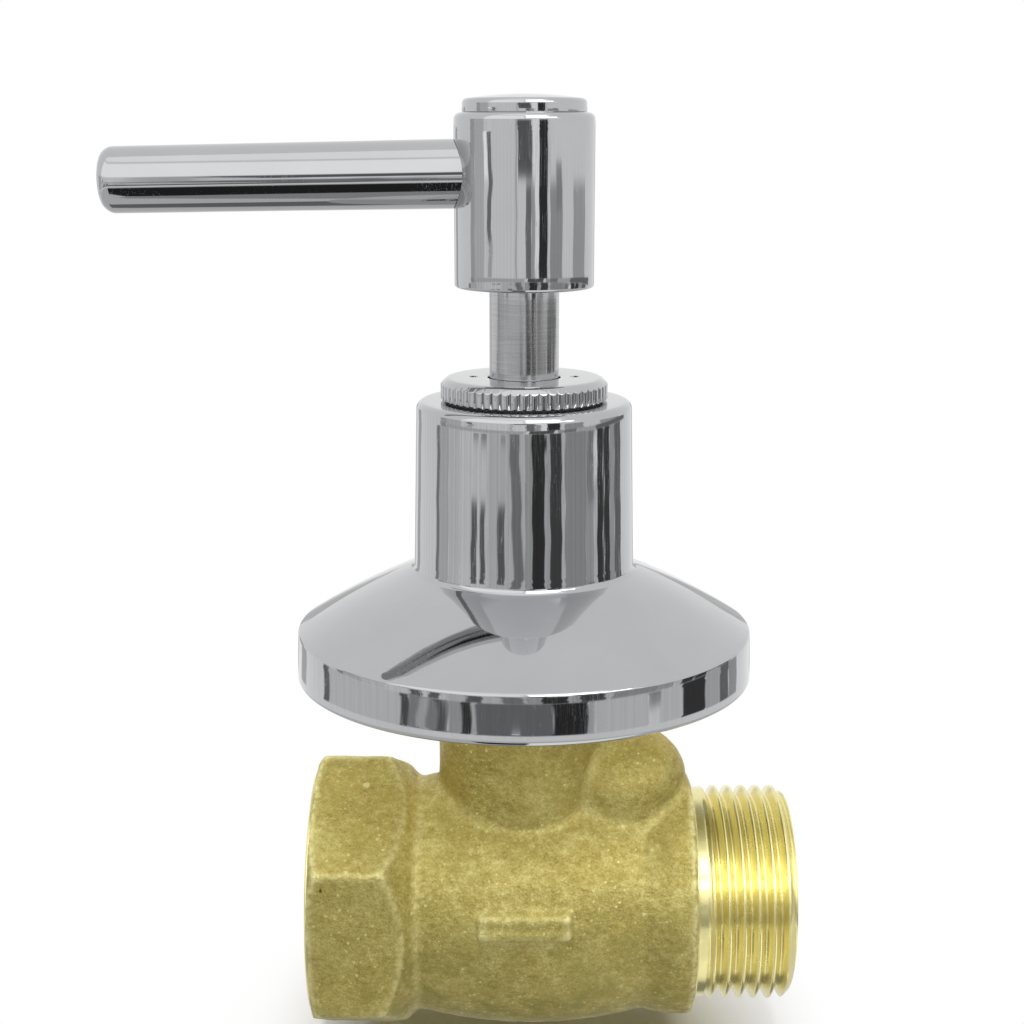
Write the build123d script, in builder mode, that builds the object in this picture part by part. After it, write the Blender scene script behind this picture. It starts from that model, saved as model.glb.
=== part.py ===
from build123d import *
import math
import os

# Concealed stop valve, millimetres.
# Origin at the centre of the inlet mouth, +X along the flow, +Z up the spindle.
# At rest the valve is fully open.

# Clearances
running_gap = 0.08      # radial, between pieces that turn or slide on each other
thread_gap = 0.10       # radial, between fixed threads, which are plain at their mean radius
fit_gap = 0.05          # radial, between pieces that are pushed together and stay
seat_gap = 0.05         # between flat faces that stop against each other

# Body casting
inlet_reach = 26.1      # inlet mouth to spindle axis
outlet_reach = 33.0     # spindle axis to outlet end
hex_flats = 31.5
hex_length = 9.2        # corner length, mouth to shoulder
hex_corner_round = 0.9
hex_mouth_chamfer = 1.3
waist_radius = 14.3
belly_radius = 16.1
belly_end_offset = 14.3     # spindle axis to the dip before the collar
dip_radius = 14.4
collar_radius = 15.1
collar_width = 2.8
collar_face_offset = 21.0   # spindle axis to the collar's machined face
collar_round = 0.8
body_wall = 3.0

# Pipe threads, plain at the thread's own radius
pipe_thread_major = 13.22
pipe_thread_minor = 12.06
inlet_thread_depth = 11.0
outlet_band_length = 1.3
outlet_band_radius = 13.02
outlet_chamfer = 1.0
outlet_bore_radius = 9.6

# Neck and outlet lobe
neck_radius = 10.5
neck_height = 26.0
neck_edge = 0.6
lobe_radius = 8.5
lobe_offset = 11.75         # spindle axis to the lobe's own axis
lobe_height = 21.2
lobe_top_round = 5.6
cast_fillet = 1.6           # between neck, lobe and belly
casting_bar_length = 11.0
casting_bar_height = 2.9
casting_bar_relief = 0.45
casting_bar_angle = 9.0     # above the front of the belly, in degrees

# Waterway and seat
seat_bore_radius = 5.0
seat_lip_width = 1.3
seat_lip_height = 0.9
seat_top = 3.1              # height of the seat above the flow axis
bridge_thickness = 2.4
bridge_round = 1.0
riser_foot = 7.85           # spindle axis to the inlet side's wall of the bridge
riser_lean = 2.6            # that wall's lean over its height
fall_lean = 6.0             # lean of the outlet side's wall
chamber_radius = 8.6
neck_bore_radius = 7.95
neck_bore_depth = 12.0
lobe_passage_radius = 5.6
throat_radius = 10.6        # waterway just behind the inlet thread
throat_cone = 1.5

# Lift
lift = 4.5

# Headwork
gasket_thickness = 1.0
gasket_width = 2.0
headwork_thread_length = 11.4
headwork_hex_flats = 20.0
headwork_hex_height = 6.0
headwork_hex_chamfer = 0.8
headwork_top_length = 8.0
headwork_top_radius = 7.9
headwork_web = 2.0
stuffing_radius = 6.1

# Spindle
spindle_thread_radius = 5.0
spindle_thread_length = 12.7
spindle_stem_radius = 3.9
spline_length = 7.2
spline_teeth = 18
spline_tooth_depth = 0.35
spindle_spline_radius = 3.6
spindle_end_chamfer = 0.4
shoulder_play = 0.3         # left above the spindle's thread when it is fully open

# Stuffing box
packing_washer_thickness = 0.8
packing_height = 4.5
gland_collar_height = 3.5
gland_hex_flats = 12.8
gland_travel_left = 0.2     # gap under the gland's collar

# Closing disc
jumper_radius = 6.9
jumper_thickness = 2.05
jumper_rim_height = 1.0
jumper_rim_wall = 0.6
jumper_stem_radius = 1.9
jumper_stem_length = 6.1
seat_washer_thickness = 2.3
stud_radius = 1.3
stud_length = 4.3
washer_nut_flats = 4.6
washer_nut_height = 1.6

# Extension sleeve
sleeve_outer_radius = 9.3
sleeve_lower_socket = 12.5
sleeve_upper_radius = 7.5
sleeve_chamfer = 0.5
sleeve_end_gap = 0.47       # under the bell's top web

# Bell
bell_stand_off = 3.4        # wall face above the body's neck
bell_rim_radius = 27.7
bell_rim_taper = 0.2        # on the radius, over the rim's height
bell_rim_height = 5.85
bell_rim_wall = 1.5
bell_skirt_top_radius = 13.3
bell_skirt_rise = 7.45
bell_skirt_bulge = 0.4      # rise of the skirt's arc above a straight cone
bell_top_radius = 12.85
bell_height = 33.65
bell_wall = 1.4
bell_web = 1.6
bell_hole_radius = 7.85
bell_edge_round = 1.0
bell_rim_round = 0.5
bell_root_fillet = 0.8

# Knurled ring
ring_washer_thickness = 0.22
ring_radius = 9.95
ring_knurl_height = 1.7
ring_shoulder_height = 0.85
ring_shoulder_round = 1.1
ring_top_radius = 8.9
ring_teeth = 84
ring_tooth_depth = 0.28
ring_groove_share = 0.8     # groove width at the ring's edge as a share of the pitch
ring_web = 1.45
ring_skirt_length = 6.6
ring_skirt_wall = 1.0
ring_hole_gap = 0.42        # around the stem where it comes out of the ring
spanner_hole_radius = 0.5
spanner_hole_depth = 1.0
spanner_hole_offset = 6.0
bush_height = 4.9

# Spindle extension
stem_radius = 4.12
stem_visible_length = 10.6
socket_radius = 6.0
socket_height = 9.1
socket_chamfer = 0.5
socket_clear = 0.4          # left above the gland when the spindle is fully down
grub_screw_radius = 1.4
grub_screw_length = 2.0
upper_spline_length = 9.2
upper_spline_radius = 3.85
stem_into_hub = 0.5

# Handle
hub_radius = 8.2
hub_height = 20.05
hub_top_round = 0.9
hub_bottom_round = 0.4
insert_radius = 5.6
insert_height = 9.1
insert_recess = 0.6
hub_cavity_radius = 6.75
hub_cavity_depth = 3.8
lever_root_radius = 4.0
lever_tip_radius = 3.83
lever_reach = 49.3          # spindle axis to the lever's tip
lever_height = 13.2         # lever axis above the hub's lower face, on the spindle axis
lever_droop = 0.96          # degrees
lever_seat_offset = 7.0     # spindle axis to the flat of the lever's seat
lever_tip_round = 1.6
lever_tip_dome = 0.35
lever_stud_radius = 2.4
lever_stud_length = 3.6
screw_shank_radius = 1.95
screw_length = 12.5
screw_head_radius = 3.6
screw_head_height = 2.1
screw_head_round = 0.7
screw_slot_width = 0.9
screw_slot_depth = 1.0
screw_washer_radius = 4.3
screw_washer_thickness = 0.8
cap_radius = 7.24
cap_head_height = 1.5
cap_dome = 0.6
cap_edge_round = 0.6
cap_plug_radius = 6.45
cap_plug_length = 2.6
cap_plug_wall = 1.3
cap_hollow_rise = 0.38      # how far the cap's hollow goes into its head
o_ring_section = 0.5
o_ring_drop = 1.35          # cap's shoulder to the centre of its ring

# Heights and places that follow from the sizes above
spindle_x = inlet_reach
collar_face_x = spindle_x + collar_face_offset
outlet_end_x = spindle_x + outlet_reach
bridge_top = seat_top - seat_lip_height
bridge_bottom = bridge_top - bridge_thickness
gasket_top = neck_height + gasket_thickness
headwork_hex_top = gasket_top + headwork_hex_height
headwork_top = headwork_hex_top + headwork_top_length
seat_washer_bottom = seat_top + seat_gap + lift
jumper_plate_bottom = seat_washer_bottom + seat_washer_thickness
jumper_top = jumper_plate_bottom + jumper_thickness
spindle_bottom = jumper_top + seat_gap
spindle_thread_top = spindle_bottom + spindle_thread_length
web_bottom = spindle_thread_top + shoulder_play
web_top = web_bottom + headwork_web
packing_bottom = web_top + packing_washer_thickness
packing_top = packing_bottom + packing_height
gland_collar_bottom = headwork_top + gland_travel_left
gland_top = gland_collar_bottom + gland_collar_height
socket_bottom = gland_top + lift + socket_clear
socket_top = socket_bottom + socket_height
bell_base = neck_height + bell_stand_off
bell_top = bell_base + bell_height
ring_bottom = bell_top + ring_washer_thickness
ring_top = ring_bottom + ring_knurl_height + ring_shoulder_height
hub_bottom = ring_top + stem_visible_length
hub_top = hub_bottom + hub_height
stem_top = hub_bottom + stem_into_hub
insert_bottom = hub_bottom + insert_recess
insert_top = insert_bottom + insert_height
extension_top = stem_top + upper_spline_length
cavity_floor = hub_top - hub_cavity_depth
screw_head_bottom = cavity_floor + screw_washer_thickness
screw_tip = screw_head_bottom - screw_length
cap_plug_bottom = hub_top - cap_plug_length
o_ring_height = hub_top - o_ring_drop

upright = Plane(origin=(spindle_x, 0, 0), x_dir=(1, 0, 0), z_dir=(0, -1, 0))
spindle_axis = Axis((spindle_x, 0, 0), (0, 0, 1))


def level(height):
    """Horizontal plane centred on the spindle axis."""
    return Plane(origin=(spindle_x, 0, height), x_dir=(1, 0, 0), z_dir=(0, 0, 1))


def section(*points):
    """Closed straight-sided outline through radius and height pairs, in a sketch."""
    Polygon(*points, align=None)


def spline_outline(outer_radius):
    """Toothed outline of a spline, in a sketch."""
    pitch = 2 * math.pi * outer_radius / spline_teeth
    Circle(outer_radius)
    with PolarLocations(outer_radius, spline_teeth):
        Polygon(
            (spline_tooth_depth, pitch / 2),
            (-spline_tooth_depth, 0),
            (spline_tooth_depth, -pitch / 2),
            align=None,
            mode=Mode.SUBTRACT,
        )


# Waterway of the casting: two chambers parted by the S-shaped bridge and joined through the seat
dip_x = spindle_x + belly_end_offset
waist_x = hex_length + (hex_flats / math.sqrt(3) - waist_radius)
core_radius = belly_radius - body_wall
throat_x = inlet_thread_depth + throat_cone
fall_foot = chamber_radius
with BuildPart() as waterway:
    with BuildSketch(Plane.XZ):
        with BuildLine():
            Polyline(
                (throat_x, throat_radius),
                (inlet_thread_depth, pipe_thread_minor),
                (0, pipe_thread_minor),
                (0, 0),
                (outlet_end_x, 0),
                (outlet_end_x, outlet_bore_radius),
                (dip_x + body_wall / 2, outlet_bore_radius),
            )
            ThreePointArc(
                (dip_x + body_wall / 2, outlet_bore_radius),
                (spindle_x, core_radius),
                (throat_x, throat_radius),
            )
        make_face()
    revolve(axis=Axis.X)
    with BuildSketch(upright):
        with BuildLine():
            Polyline(
                (-riser_foot - riser_lean, core_radius),
                (-riser_foot, bridge_top),
                (fall_foot, bridge_top),
                (fall_foot + fall_lean, -core_radius),
                (fall_foot + fall_lean - bridge_thickness, -core_radius),
                (fall_foot - bridge_thickness / 2, bridge_bottom),
                (-riser_foot - bridge_thickness, bridge_bottom),
                (-riser_foot - riser_lean - bridge_thickness, core_radius),
                close=True,
            )
        make_face()
        platform_corners = vertices().group_by(Axis.Y)[1:-1]
        fillet([corner for row in platform_corners for corner in row], bridge_round)
    extrude(amount=belly_radius, both=True, mode=Mode.SUBTRACT)
    with BuildSketch(level(bridge_top)):
        Circle(chamber_radius)
    extrude(amount=neck_height - neck_bore_depth - bridge_top)
    with BuildSketch(level(bridge_top)):
        with Locations((lobe_offset, 0)):
            Circle(lobe_passage_radius)
    extrude(amount=lobe_height - body_wall - bridge_top)
    with BuildSketch(level(bridge_top)):
        Circle(seat_bore_radius + seat_lip_width)
    extrude(amount=seat_lip_height, mode=Mode.SUBTRACT)
    with BuildSketch(level(bridge_bottom - running_gap)):
        Circle(seat_bore_radius)
    extrude(amount=bridge_thickness + seat_lip_height + 2 * running_gap)
    with BuildSketch(level(neck_height - neck_bore_depth)):
        Circle(neck_bore_radius)
    extrude(amount=neck_bore_depth)

# Cast brass body
hex_corner = hex_flats / math.sqrt(3)
with BuildPart() as valve_body:
    with BuildSketch(Plane.YZ):
        RegularPolygon(hex_corner, 6, rotation=30)
        fillet(vertices(), hex_corner_round)
    extrude(amount=waist_x)
    with BuildSketch(Plane.XZ):
        section(
            (0, 0),
            (0, hex_corner - 2 * hex_mouth_chamfer),
            (hex_mouth_chamfer, hex_corner),
            (hex_length, hex_corner),
            (waist_x, waist_radius),
            (waist_x, 0),
        )
    revolve(axis=Axis.X, mode=Mode.INTERSECT)
    with BuildSketch(Plane.XZ):
        with BuildLine():
            Line((waist_x, 0), (waist_x, waist_radius))
            ThreePointArc(
                (waist_x, waist_radius),
                ((waist_x + dip_x) / 2, belly_radius),
                (dip_x, dip_radius),
            )
            Polyline(
                (dip_x, dip_radius),
                (collar_face_x - collar_width, collar_radius),
                (collar_face_x - collar_round, collar_radius),
            )
            RadiusArc(
                (collar_face_x - collar_round, collar_radius),
                (collar_face_x, collar_radius - collar_round),
                collar_round,
            )
            Polyline(
                (collar_face_x, collar_radius - collar_round),
                (collar_face_x, 0),
                (waist_x, 0),
            )
        make_face()
    revolve(axis=Axis.X)
    with BuildSketch(level(0)):
        Circle(neck_radius)
    extrude(amount=neck_height)
    with BuildSketch(upright):
        with Locations((lobe_offset, 0)):
            Rectangle(lobe_radius, lobe_height, align=(Align.MIN, Align.MIN))
        fillet(vertices().group_by(Axis.Y)[-1].sort_by(Axis.X)[-1], lobe_top_round)
    revolve(axis=Axis((spindle_x + lobe_offset, 0, 0), (0, 0, 1)))
    cast_corners = (
        edges()
        .filter_by_position(Axis.X, spindle_x - neck_radius, collar_face_x - collar_round / 2)
        .filter_by_position(Axis.Z, neck_radius, neck_height)
        .filter_by(lambda edge: abs(edge.center().Y) > running_gap)
    )
    fillet(cast_corners, cast_fillet)
    with BuildSketch(Plane(origin=(collar_face_x, 0, 0), x_dir=(0, 1, 0), z_dir=(1, 0, 0))):
        Circle(outlet_band_radius)
    extrude(amount=outlet_band_length)
    with BuildSketch(Plane(origin=(outlet_end_x, 0, 0), x_dir=(0, 1, 0), z_dir=(-1, 0, 0))):
        Circle(pipe_thread_major)
    extrude(amount=outlet_reach - collar_face_offset - outlet_band_length)
    chamfer(edges().group_by(Axis.X)[-1], outlet_chamfer)
    bar_plane = Plane(
        origin=(spindle_x, 0, 0),
        x_dir=(1, 0, 0),
        z_dir=(0, -math.cos(math.radians(casting_bar_angle)), math.sin(math.radians(casting_bar_angle))),
    )
    with BuildSketch(bar_plane.offset(belly_radius + casting_bar_relief)):
        Rectangle(casting_bar_length, casting_bar_height)
        fillet(vertices(), casting_bar_relief)
    extrude(amount=-body_wall / 2)
    add(waterway.part, mode=Mode.SUBTRACT)
    chamfer(edges().group_by(Axis.Z)[-1].sort_by(SortBy.LENGTH)[-1], neck_edge)
valve_body.part.label = "valve_body"

# Fibre ring under the headwork
with BuildPart() as headwork_gasket:
    with BuildSketch(level(neck_height)):
        Circle(neck_bore_radius + gasket_width)
        Circle(neck_bore_radius + fit_gap, mode=Mode.SUBTRACT)
    extrude(amount=gasket_thickness)
headwork_gasket.part.label = "headwork_gasket"

# Headwork: lifting thread below, stuffing box above, hexagon between
headwork_thread_radius = neck_bore_radius - thread_gap
headwork_bottom = neck_height - headwork_thread_length
with BuildPart() as headwork:
    with BuildSketch(level(gasket_top)):
        RegularPolygon(headwork_hex_flats / math.sqrt(3), 6)
    extrude(amount=headwork_hex_height)
    with BuildSketch(upright):
        section(
            (0, gasket_top),
            (headwork_hex_flats / 2, gasket_top),
            (headwork_hex_flats / math.sqrt(3), gasket_top + headwork_hex_chamfer),
            (headwork_hex_flats / math.sqrt(3), headwork_hex_top - headwork_hex_chamfer),
            (headwork_hex_flats / 2, headwork_hex_top),
            (0, headwork_hex_top),
        )
    revolve(axis=spindle_axis, mode=Mode.INTERSECT)
    with BuildSketch(upright):
        section(
            (0, headwork_bottom),
            (headwork_thread_radius - spindle_end_chamfer, headwork_bottom),
            (headwork_thread_radius, headwork_bottom + spindle_end_chamfer),
            (headwork_thread_radius, gasket_top + gasket_thickness),
            (headwork_top_radius, gasket_top + gasket_thickness),
            (headwork_top_radius, headwork_top - spindle_end_chamfer),
            (headwork_top_radius - spindle_end_chamfer, headwork_top),
            (0, headwork_top),
        )
    revolve(axis=spindle_axis)
    with BuildSketch(upright):
        section(
            (0, headwork_bottom),
            (spindle_thread_radius + running_gap, headwork_bottom),
            (spindle_thread_radius + running_gap, web_bottom),
            (spindle_stem_radius + running_gap, web_bottom),
            (spindle_stem_radius + running_gap, web_top),
            (stuffing_radius, web_top),
            (stuffing_radius, headwork_top),
            (0, headwork_top),
        )
    revolve(axis=spindle_axis, mode=Mode.SUBTRACT)
headwork.part.label = "headwork"

# Stuffing box: washer, packing and the gland that presses them
with BuildPart() as packing_washer:
    with BuildSketch(level(web_top)):
        Circle(stuffing_radius - fit_gap)
        Circle(spindle_stem_radius + running_gap, mode=Mode.SUBTRACT)
    extrude(amount=packing_washer_thickness)
packing_washer.part.label = "packing_washer"

with BuildPart() as packing_ring:
    with BuildSketch(level(packing_bottom)):
        Circle(stuffing_radius - fit_gap)
        Circle(spindle_stem_radius + running_gap, mode=Mode.SUBTRACT)
    extrude(amount=packing_height)
packing_ring.part.label = "packing_ring"

with BuildPart() as gland_nut:
    with BuildSketch(level(packing_top)):
        Circle(stuffing_radius - thread_gap)
    extrude(amount=gland_collar_bottom - packing_top)
    with BuildSketch(level(gland_collar_bottom)):
        RegularPolygon(gland_hex_flats / math.sqrt(3), 6)
    extrude(amount=gland_collar_height)
    with BuildSketch(level(packing_top)):
        Circle(spindle_stem_radius + 2 * running_gap)
    extrude(amount=gland_top - packing_top, mode=Mode.SUBTRACT)
gland_nut.part.label = "gland_nut"

# Rising spindle: bored for the jumper below, splined above
jumper_bore_radius = jumper_stem_radius + running_gap
with BuildPart() as spindle:
    with BuildSketch(upright):
        section(
            (0, spindle_bottom),
            (spindle_thread_radius - spindle_end_chamfer, spindle_bottom),
            (spindle_thread_radius, spindle_bottom + spindle_end_chamfer),
            (spindle_thread_radius, spindle_thread_top - spindle_end_chamfer),
            (spindle_thread_radius - spindle_end_chamfer, spindle_thread_top),
            (spindle_stem_radius, spindle_thread_top),
            (spindle_stem_radius, socket_bottom - spindle_end_chamfer),
            (spindle_spline_radius, socket_bottom),
            (0, socket_bottom),
        )
    revolve(axis=spindle_axis)
    with BuildSketch(level(socket_bottom)):
        spline_outline(spindle_spline_radius)
    extrude(amount=spline_length)
    with BuildSketch(level(spindle_bottom)):
        Circle(jumper_bore_radius)
    extrude(amount=jumper_stem_length + seat_gap, mode=Mode.SUBTRACT)
spindle.part.label = "spindle"

# Closing disc: cupped jumper, rubber washer and the nut that holds it
washer_radius = jumper_radius - jumper_rim_wall - fit_gap
with BuildPart() as jumper:
    with BuildSketch(upright):
        section(
            (0, jumper_plate_bottom - stud_length),
            (stud_radius, jumper_plate_bottom - stud_length),
            (stud_radius, jumper_plate_bottom),
            (jumper_radius - jumper_rim_wall, jumper_plate_bottom),
            (jumper_radius - jumper_rim_wall, jumper_plate_bottom - jumper_rim_height),
            (jumper_radius, jumper_plate_bottom - jumper_rim_height),
            (jumper_radius, jumper_top - spindle_end_chamfer),
            (jumper_radius - spindle_end_chamfer, jumper_top),
            (jumper_stem_radius, jumper_top),
            (jumper_stem_radius, jumper_top + jumper_stem_length),
            (0, jumper_top + jumper_stem_length),
        )
    revolve(axis=spindle_axis)
jumper.part.label = "jumper"

with BuildPart() as seat_washer:
    with BuildSketch(level(seat_washer_bottom)):
        Circle(washer_radius)
        Circle(stud_radius + fit_gap, mode=Mode.SUBTRACT)
    extrude(amount=seat_washer_thickness)
seat_washer.part.label = "seat_washer"

with BuildPart() as washer_nut:
    with BuildSketch(level(seat_washer_bottom - washer_nut_height)):
        RegularPolygon(washer_nut_flats / math.sqrt(3), 6)
        Circle(stud_radius + fit_gap, mode=Mode.SUBTRACT)
    extrude(amount=washer_nut_height)
washer_nut.part.label = "washer_nut"

# Threaded tube from the headwork to the knurled ring
sleeve_bottom = headwork_hex_top
sleeve_top = bell_top - bell_web - sleeve_end_gap
sleeve_step = sleeve_bottom + sleeve_lower_socket
with BuildPart() as extension_sleeve:
    with BuildSketch(upright):
        section(
            (headwork_top_radius + thread_gap, sleeve_bottom),
            (sleeve_outer_radius - sleeve_chamfer, sleeve_bottom),
            (sleeve_outer_radius, sleeve_bottom + sleeve_chamfer),
            (sleeve_outer_radius, sleeve_top - sleeve_chamfer),
            (sleeve_outer_radius - sleeve_chamfer, sleeve_top),
            (sleeve_upper_radius, sleeve_top),
            (sleeve_upper_radius, sleeve_step),
            (headwork_top_radius + thread_gap, sleeve_step),
        )
    revolve(axis=spindle_axis)
extension_sleeve.part.label = "extension_sleeve"

# Wall flange: thin shell with an upright rim, a slightly domed skirt and a tall collar
def skirt_arc(low, high):
    """Line of the skirt from its rim to its top, in a line builder."""
    middle_radius = (low[0] + high[0]) / 2 + bell_skirt_bulge * math.sin(skirt_slope)
    middle_height = (low[1] + high[1]) / 2 + bell_skirt_bulge * math.cos(skirt_slope)
    ThreePointArc(low, (middle_radius, middle_height), high)


rim_top = bell_base + bell_rim_height
bell_rim_top_radius = bell_rim_radius - bell_rim_taper
skirt_top = rim_top + bell_skirt_rise
skirt_slope = math.atan2(bell_skirt_rise, bell_rim_top_radius - bell_skirt_top_radius)
skirt_drop = bell_wall / math.cos(skirt_slope)
bore_radius = bell_top_radius - bell_wall
inner_skirt_start = rim_top - skirt_drop + (bell_rim_wall * math.tan(skirt_slope))
inner_skirt_end = skirt_top - skirt_drop + (bell_skirt_top_radius - bore_radius) * math.tan(skirt_slope)
with BuildPart() as escutcheon_bell:
    with BuildSketch(upright):
        with BuildLine():
            Polyline(
                (bell_rim_top_radius - bell_rim_wall, inner_skirt_start),
                (bell_rim_radius - bell_rim_wall, bell_base),
                (bell_rim_radius, bell_base),
                (bell_rim_top_radius, rim_top),
            )
            skirt_arc((bell_rim_top_radius, rim_top), (bell_skirt_top_radius, skirt_top))
            Polyline(
                (bell_skirt_top_radius, skirt_top),
                (bell_top_radius, bell_top),
                (bell_hole_radius, bell_top),
                (bell_hole_radius, bell_top - bell_web),
                (bore_radius, bell_top - bell_web),
                (bore_radius, inner_skirt_end),
            )
            skirt_arc(
                (bell_rim_top_radius - bell_rim_wall, inner_skirt_start),
                (bore_radius, inner_skirt_end),
            )
        make_face()
    revolve(axis=spindle_axis)
    outer_rings = edges().filter_by(GeomType.CIRCLE).sort_by(SortBy.RADIUS)
    rim_ring = outer_rings.filter_by(lambda ring: abs(ring.radius - bell_rim_top_radius) < fit_gap)
    base_ring = outer_rings.filter_by(lambda ring: abs(ring.radius - bell_rim_radius) < fit_gap)
    root_ring = outer_rings.filter_by(lambda ring: abs(ring.radius - bell_skirt_top_radius) < fit_gap)
    top_ring = outer_rings.filter_by(lambda ring: abs(ring.radius - bell_top_radius) < fit_gap)
    fillet(rim_ring + base_ring, bell_rim_round)
    fillet(root_ring, bell_root_fillet)
    fillet(top_ring, bell_edge_round)
escutcheon_bell.part.label = "escutcheon_bell"

# Thin washer under the knurled ring
with BuildPart() as ring_washer:
    with BuildSketch(level(bell_top)):
        Circle(ring_radius - 2 * ring_tooth_depth)
        Circle(bell_hole_radius, mode=Mode.SUBTRACT)
    extrude(amount=ring_washer_thickness)
ring_washer.part.label = "ring_washer"

# Knurled ring with a threaded skirt that draws the bell down
skirt_radius = sleeve_upper_radius - thread_gap
skirt_bore = skirt_radius - ring_skirt_wall
groove_half_width = math.pi * ring_radius / ring_teeth * ring_groove_share
with BuildPart() as knurled_ring_nut:
    with BuildSketch(level(ring_bottom)):
        Circle(ring_radius)
        with PolarLocations(ring_radius, ring_teeth):
            Polygon(
                (ring_tooth_depth / 2, groove_half_width),
                (-ring_tooth_depth, 0),
                (ring_tooth_depth / 2, -groove_half_width),
                align=None,
                mode=Mode.SUBTRACT,
            )
    extrude(amount=ring_knurl_height)
    with BuildSketch(upright):
        with BuildLine():
            Polyline(
                (0, ring_bottom),
                (0, ring_top),
                (ring_top_radius, ring_top),
            )
            RadiusArc(
                (ring_top_radius, ring_top),
                (ring_radius - ring_tooth_depth, ring_top - ring_shoulder_height),
                ring_shoulder_round,
            )
            Polyline(
                (ring_radius - ring_tooth_depth, ring_top - ring_shoulder_height),
                (ring_radius - ring_tooth_depth, ring_bottom),
                (0, ring_bottom),
            )
        make_face()
    revolve(axis=spindle_axis)
    with BuildSketch(level(ring_bottom - ring_skirt_length)):
        Circle(skirt_radius)
    extrude(amount=ring_skirt_length)
    with BuildSketch(level(ring_bottom - ring_skirt_length)):
        Circle(skirt_bore)
    extrude(amount=ring_top - ring_web - ring_bottom + ring_skirt_length, mode=Mode.SUBTRACT)
    with BuildSketch(level(ring_top - ring_web)):
        Circle(stem_radius + ring_hole_gap)
    extrude(amount=ring_web, mode=Mode.SUBTRACT)
    with BuildSketch(level(ring_top)):
        with PolarLocations(spanner_hole_offset, 2):
            Circle(spanner_hole_radius)
    extrude(amount=-spanner_hole_depth, mode=Mode.SUBTRACT)
knurled_ring_nut.part.label = "knurled_ring_nut"

# Plastic bush that guides the stem in the ring
bush_top = ring_top - ring_web
with BuildPart() as stem_bush:
    with BuildSketch(level(bush_top - bush_height)):
        Circle(skirt_bore - fit_gap)
        Circle(stem_radius + running_gap, mode=Mode.SUBTRACT)
    extrude(amount=bush_height)
stem_bush.part.label = "stem_bush"

# Chromed stem: socket on the spindle's spline below, spline for the handle above
grub_height = socket_bottom + socket_height / 2
with BuildPart() as spindle_extension:
    with BuildSketch(upright):
        section(
            (0, socket_bottom),
            (socket_radius - socket_chamfer, socket_bottom),
            (socket_radius, socket_bottom + socket_chamfer),
            (socket_radius, socket_top - socket_chamfer),
            (socket_radius - socket_chamfer, socket_top),
            (stem_radius, socket_top),
            (stem_radius, stem_top),
            (0, stem_top),
        )
    revolve(axis=spindle_axis)
    with BuildSketch(level(stem_top)):
        spline_outline(upper_spline_radius)
    extrude(amount=upper_spline_length)
    with BuildSketch(level(socket_bottom)):
        spline_outline(spindle_spline_radius + fit_gap)
    extrude(amount=spline_length + running_gap, mode=Mode.SUBTRACT)
    with BuildSketch(level(screw_tip - fit_gap)):
        Circle(screw_shank_radius + fit_gap)
    extrude(amount=extension_top - screw_tip + fit_gap, mode=Mode.SUBTRACT)
    grub_plane = Plane(origin=(spindle_x, -socket_radius, grub_height), x_dir=(1, 0, 0), z_dir=(0, 1, 0))
    with BuildSketch(grub_plane):
        Circle(grub_screw_radius + fit_gap)
    extrude(amount=socket_radius - spindle_spline_radius, mode=Mode.SUBTRACT)
spindle_extension.part.label = "spindle_extension"

with BuildPart() as extension_grub_screw:
    with BuildSketch(grub_plane.offset(fit_gap)):
        Circle(grub_screw_radius)
    extrude(amount=grub_screw_length)
    with BuildSketch(grub_plane.offset(fit_gap)):
        RegularPolygon(grub_screw_radius / 2, 6)
    extrude(amount=grub_screw_length / 2, mode=Mode.SUBTRACT)
extension_grub_screw.part.label = "extension_grub_screw"

# Lever axis, leaning down towards the tip: the plane's z runs from the barrel out to the tip
lever_angle = math.radians(lever_droop)
lever_plane = Plane(
    origin=(spindle_x, 0, hub_bottom + lever_height),
    x_dir=(0, 1, 0),
    z_dir=(-math.cos(lever_angle), 0, -math.sin(lever_angle)),
)

# Handle barrel
with BuildPart() as handle_hub:
    with BuildSketch(level(hub_bottom)):
        Circle(hub_radius)
    extrude(amount=hub_height)
    fillet(edges().group_by(Axis.Z)[-1], hub_top_round)
    fillet(edges().group_by(Axis.Z)[0], hub_bottom_round)
    with BuildSketch(level(hub_bottom)):
        Circle(insert_radius + fit_gap)
    extrude(amount=insert_top - hub_bottom, mode=Mode.SUBTRACT)
    with BuildSketch(level(insert_top)):
        Circle(screw_shank_radius + 2 * fit_gap)
    extrude(amount=cavity_floor - insert_top, mode=Mode.SUBTRACT)
    with BuildSketch(level(cavity_floor)):
        Circle(hub_cavity_radius)
    extrude(amount=hub_cavity_depth, mode=Mode.SUBTRACT)
    with BuildSketch(lever_plane.offset(lever_seat_offset)):
        Circle(lever_root_radius + fit_gap)
    extrude(amount=hub_radius, mode=Mode.SUBTRACT)
    with BuildSketch(lever_plane.offset(lever_seat_offset)):
        Circle(lever_stud_radius + fit_gap)
    extrude(amount=-lever_stud_length - fit_gap, mode=Mode.SUBTRACT)
handle_hub.part.label = "handle_hub"

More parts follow.
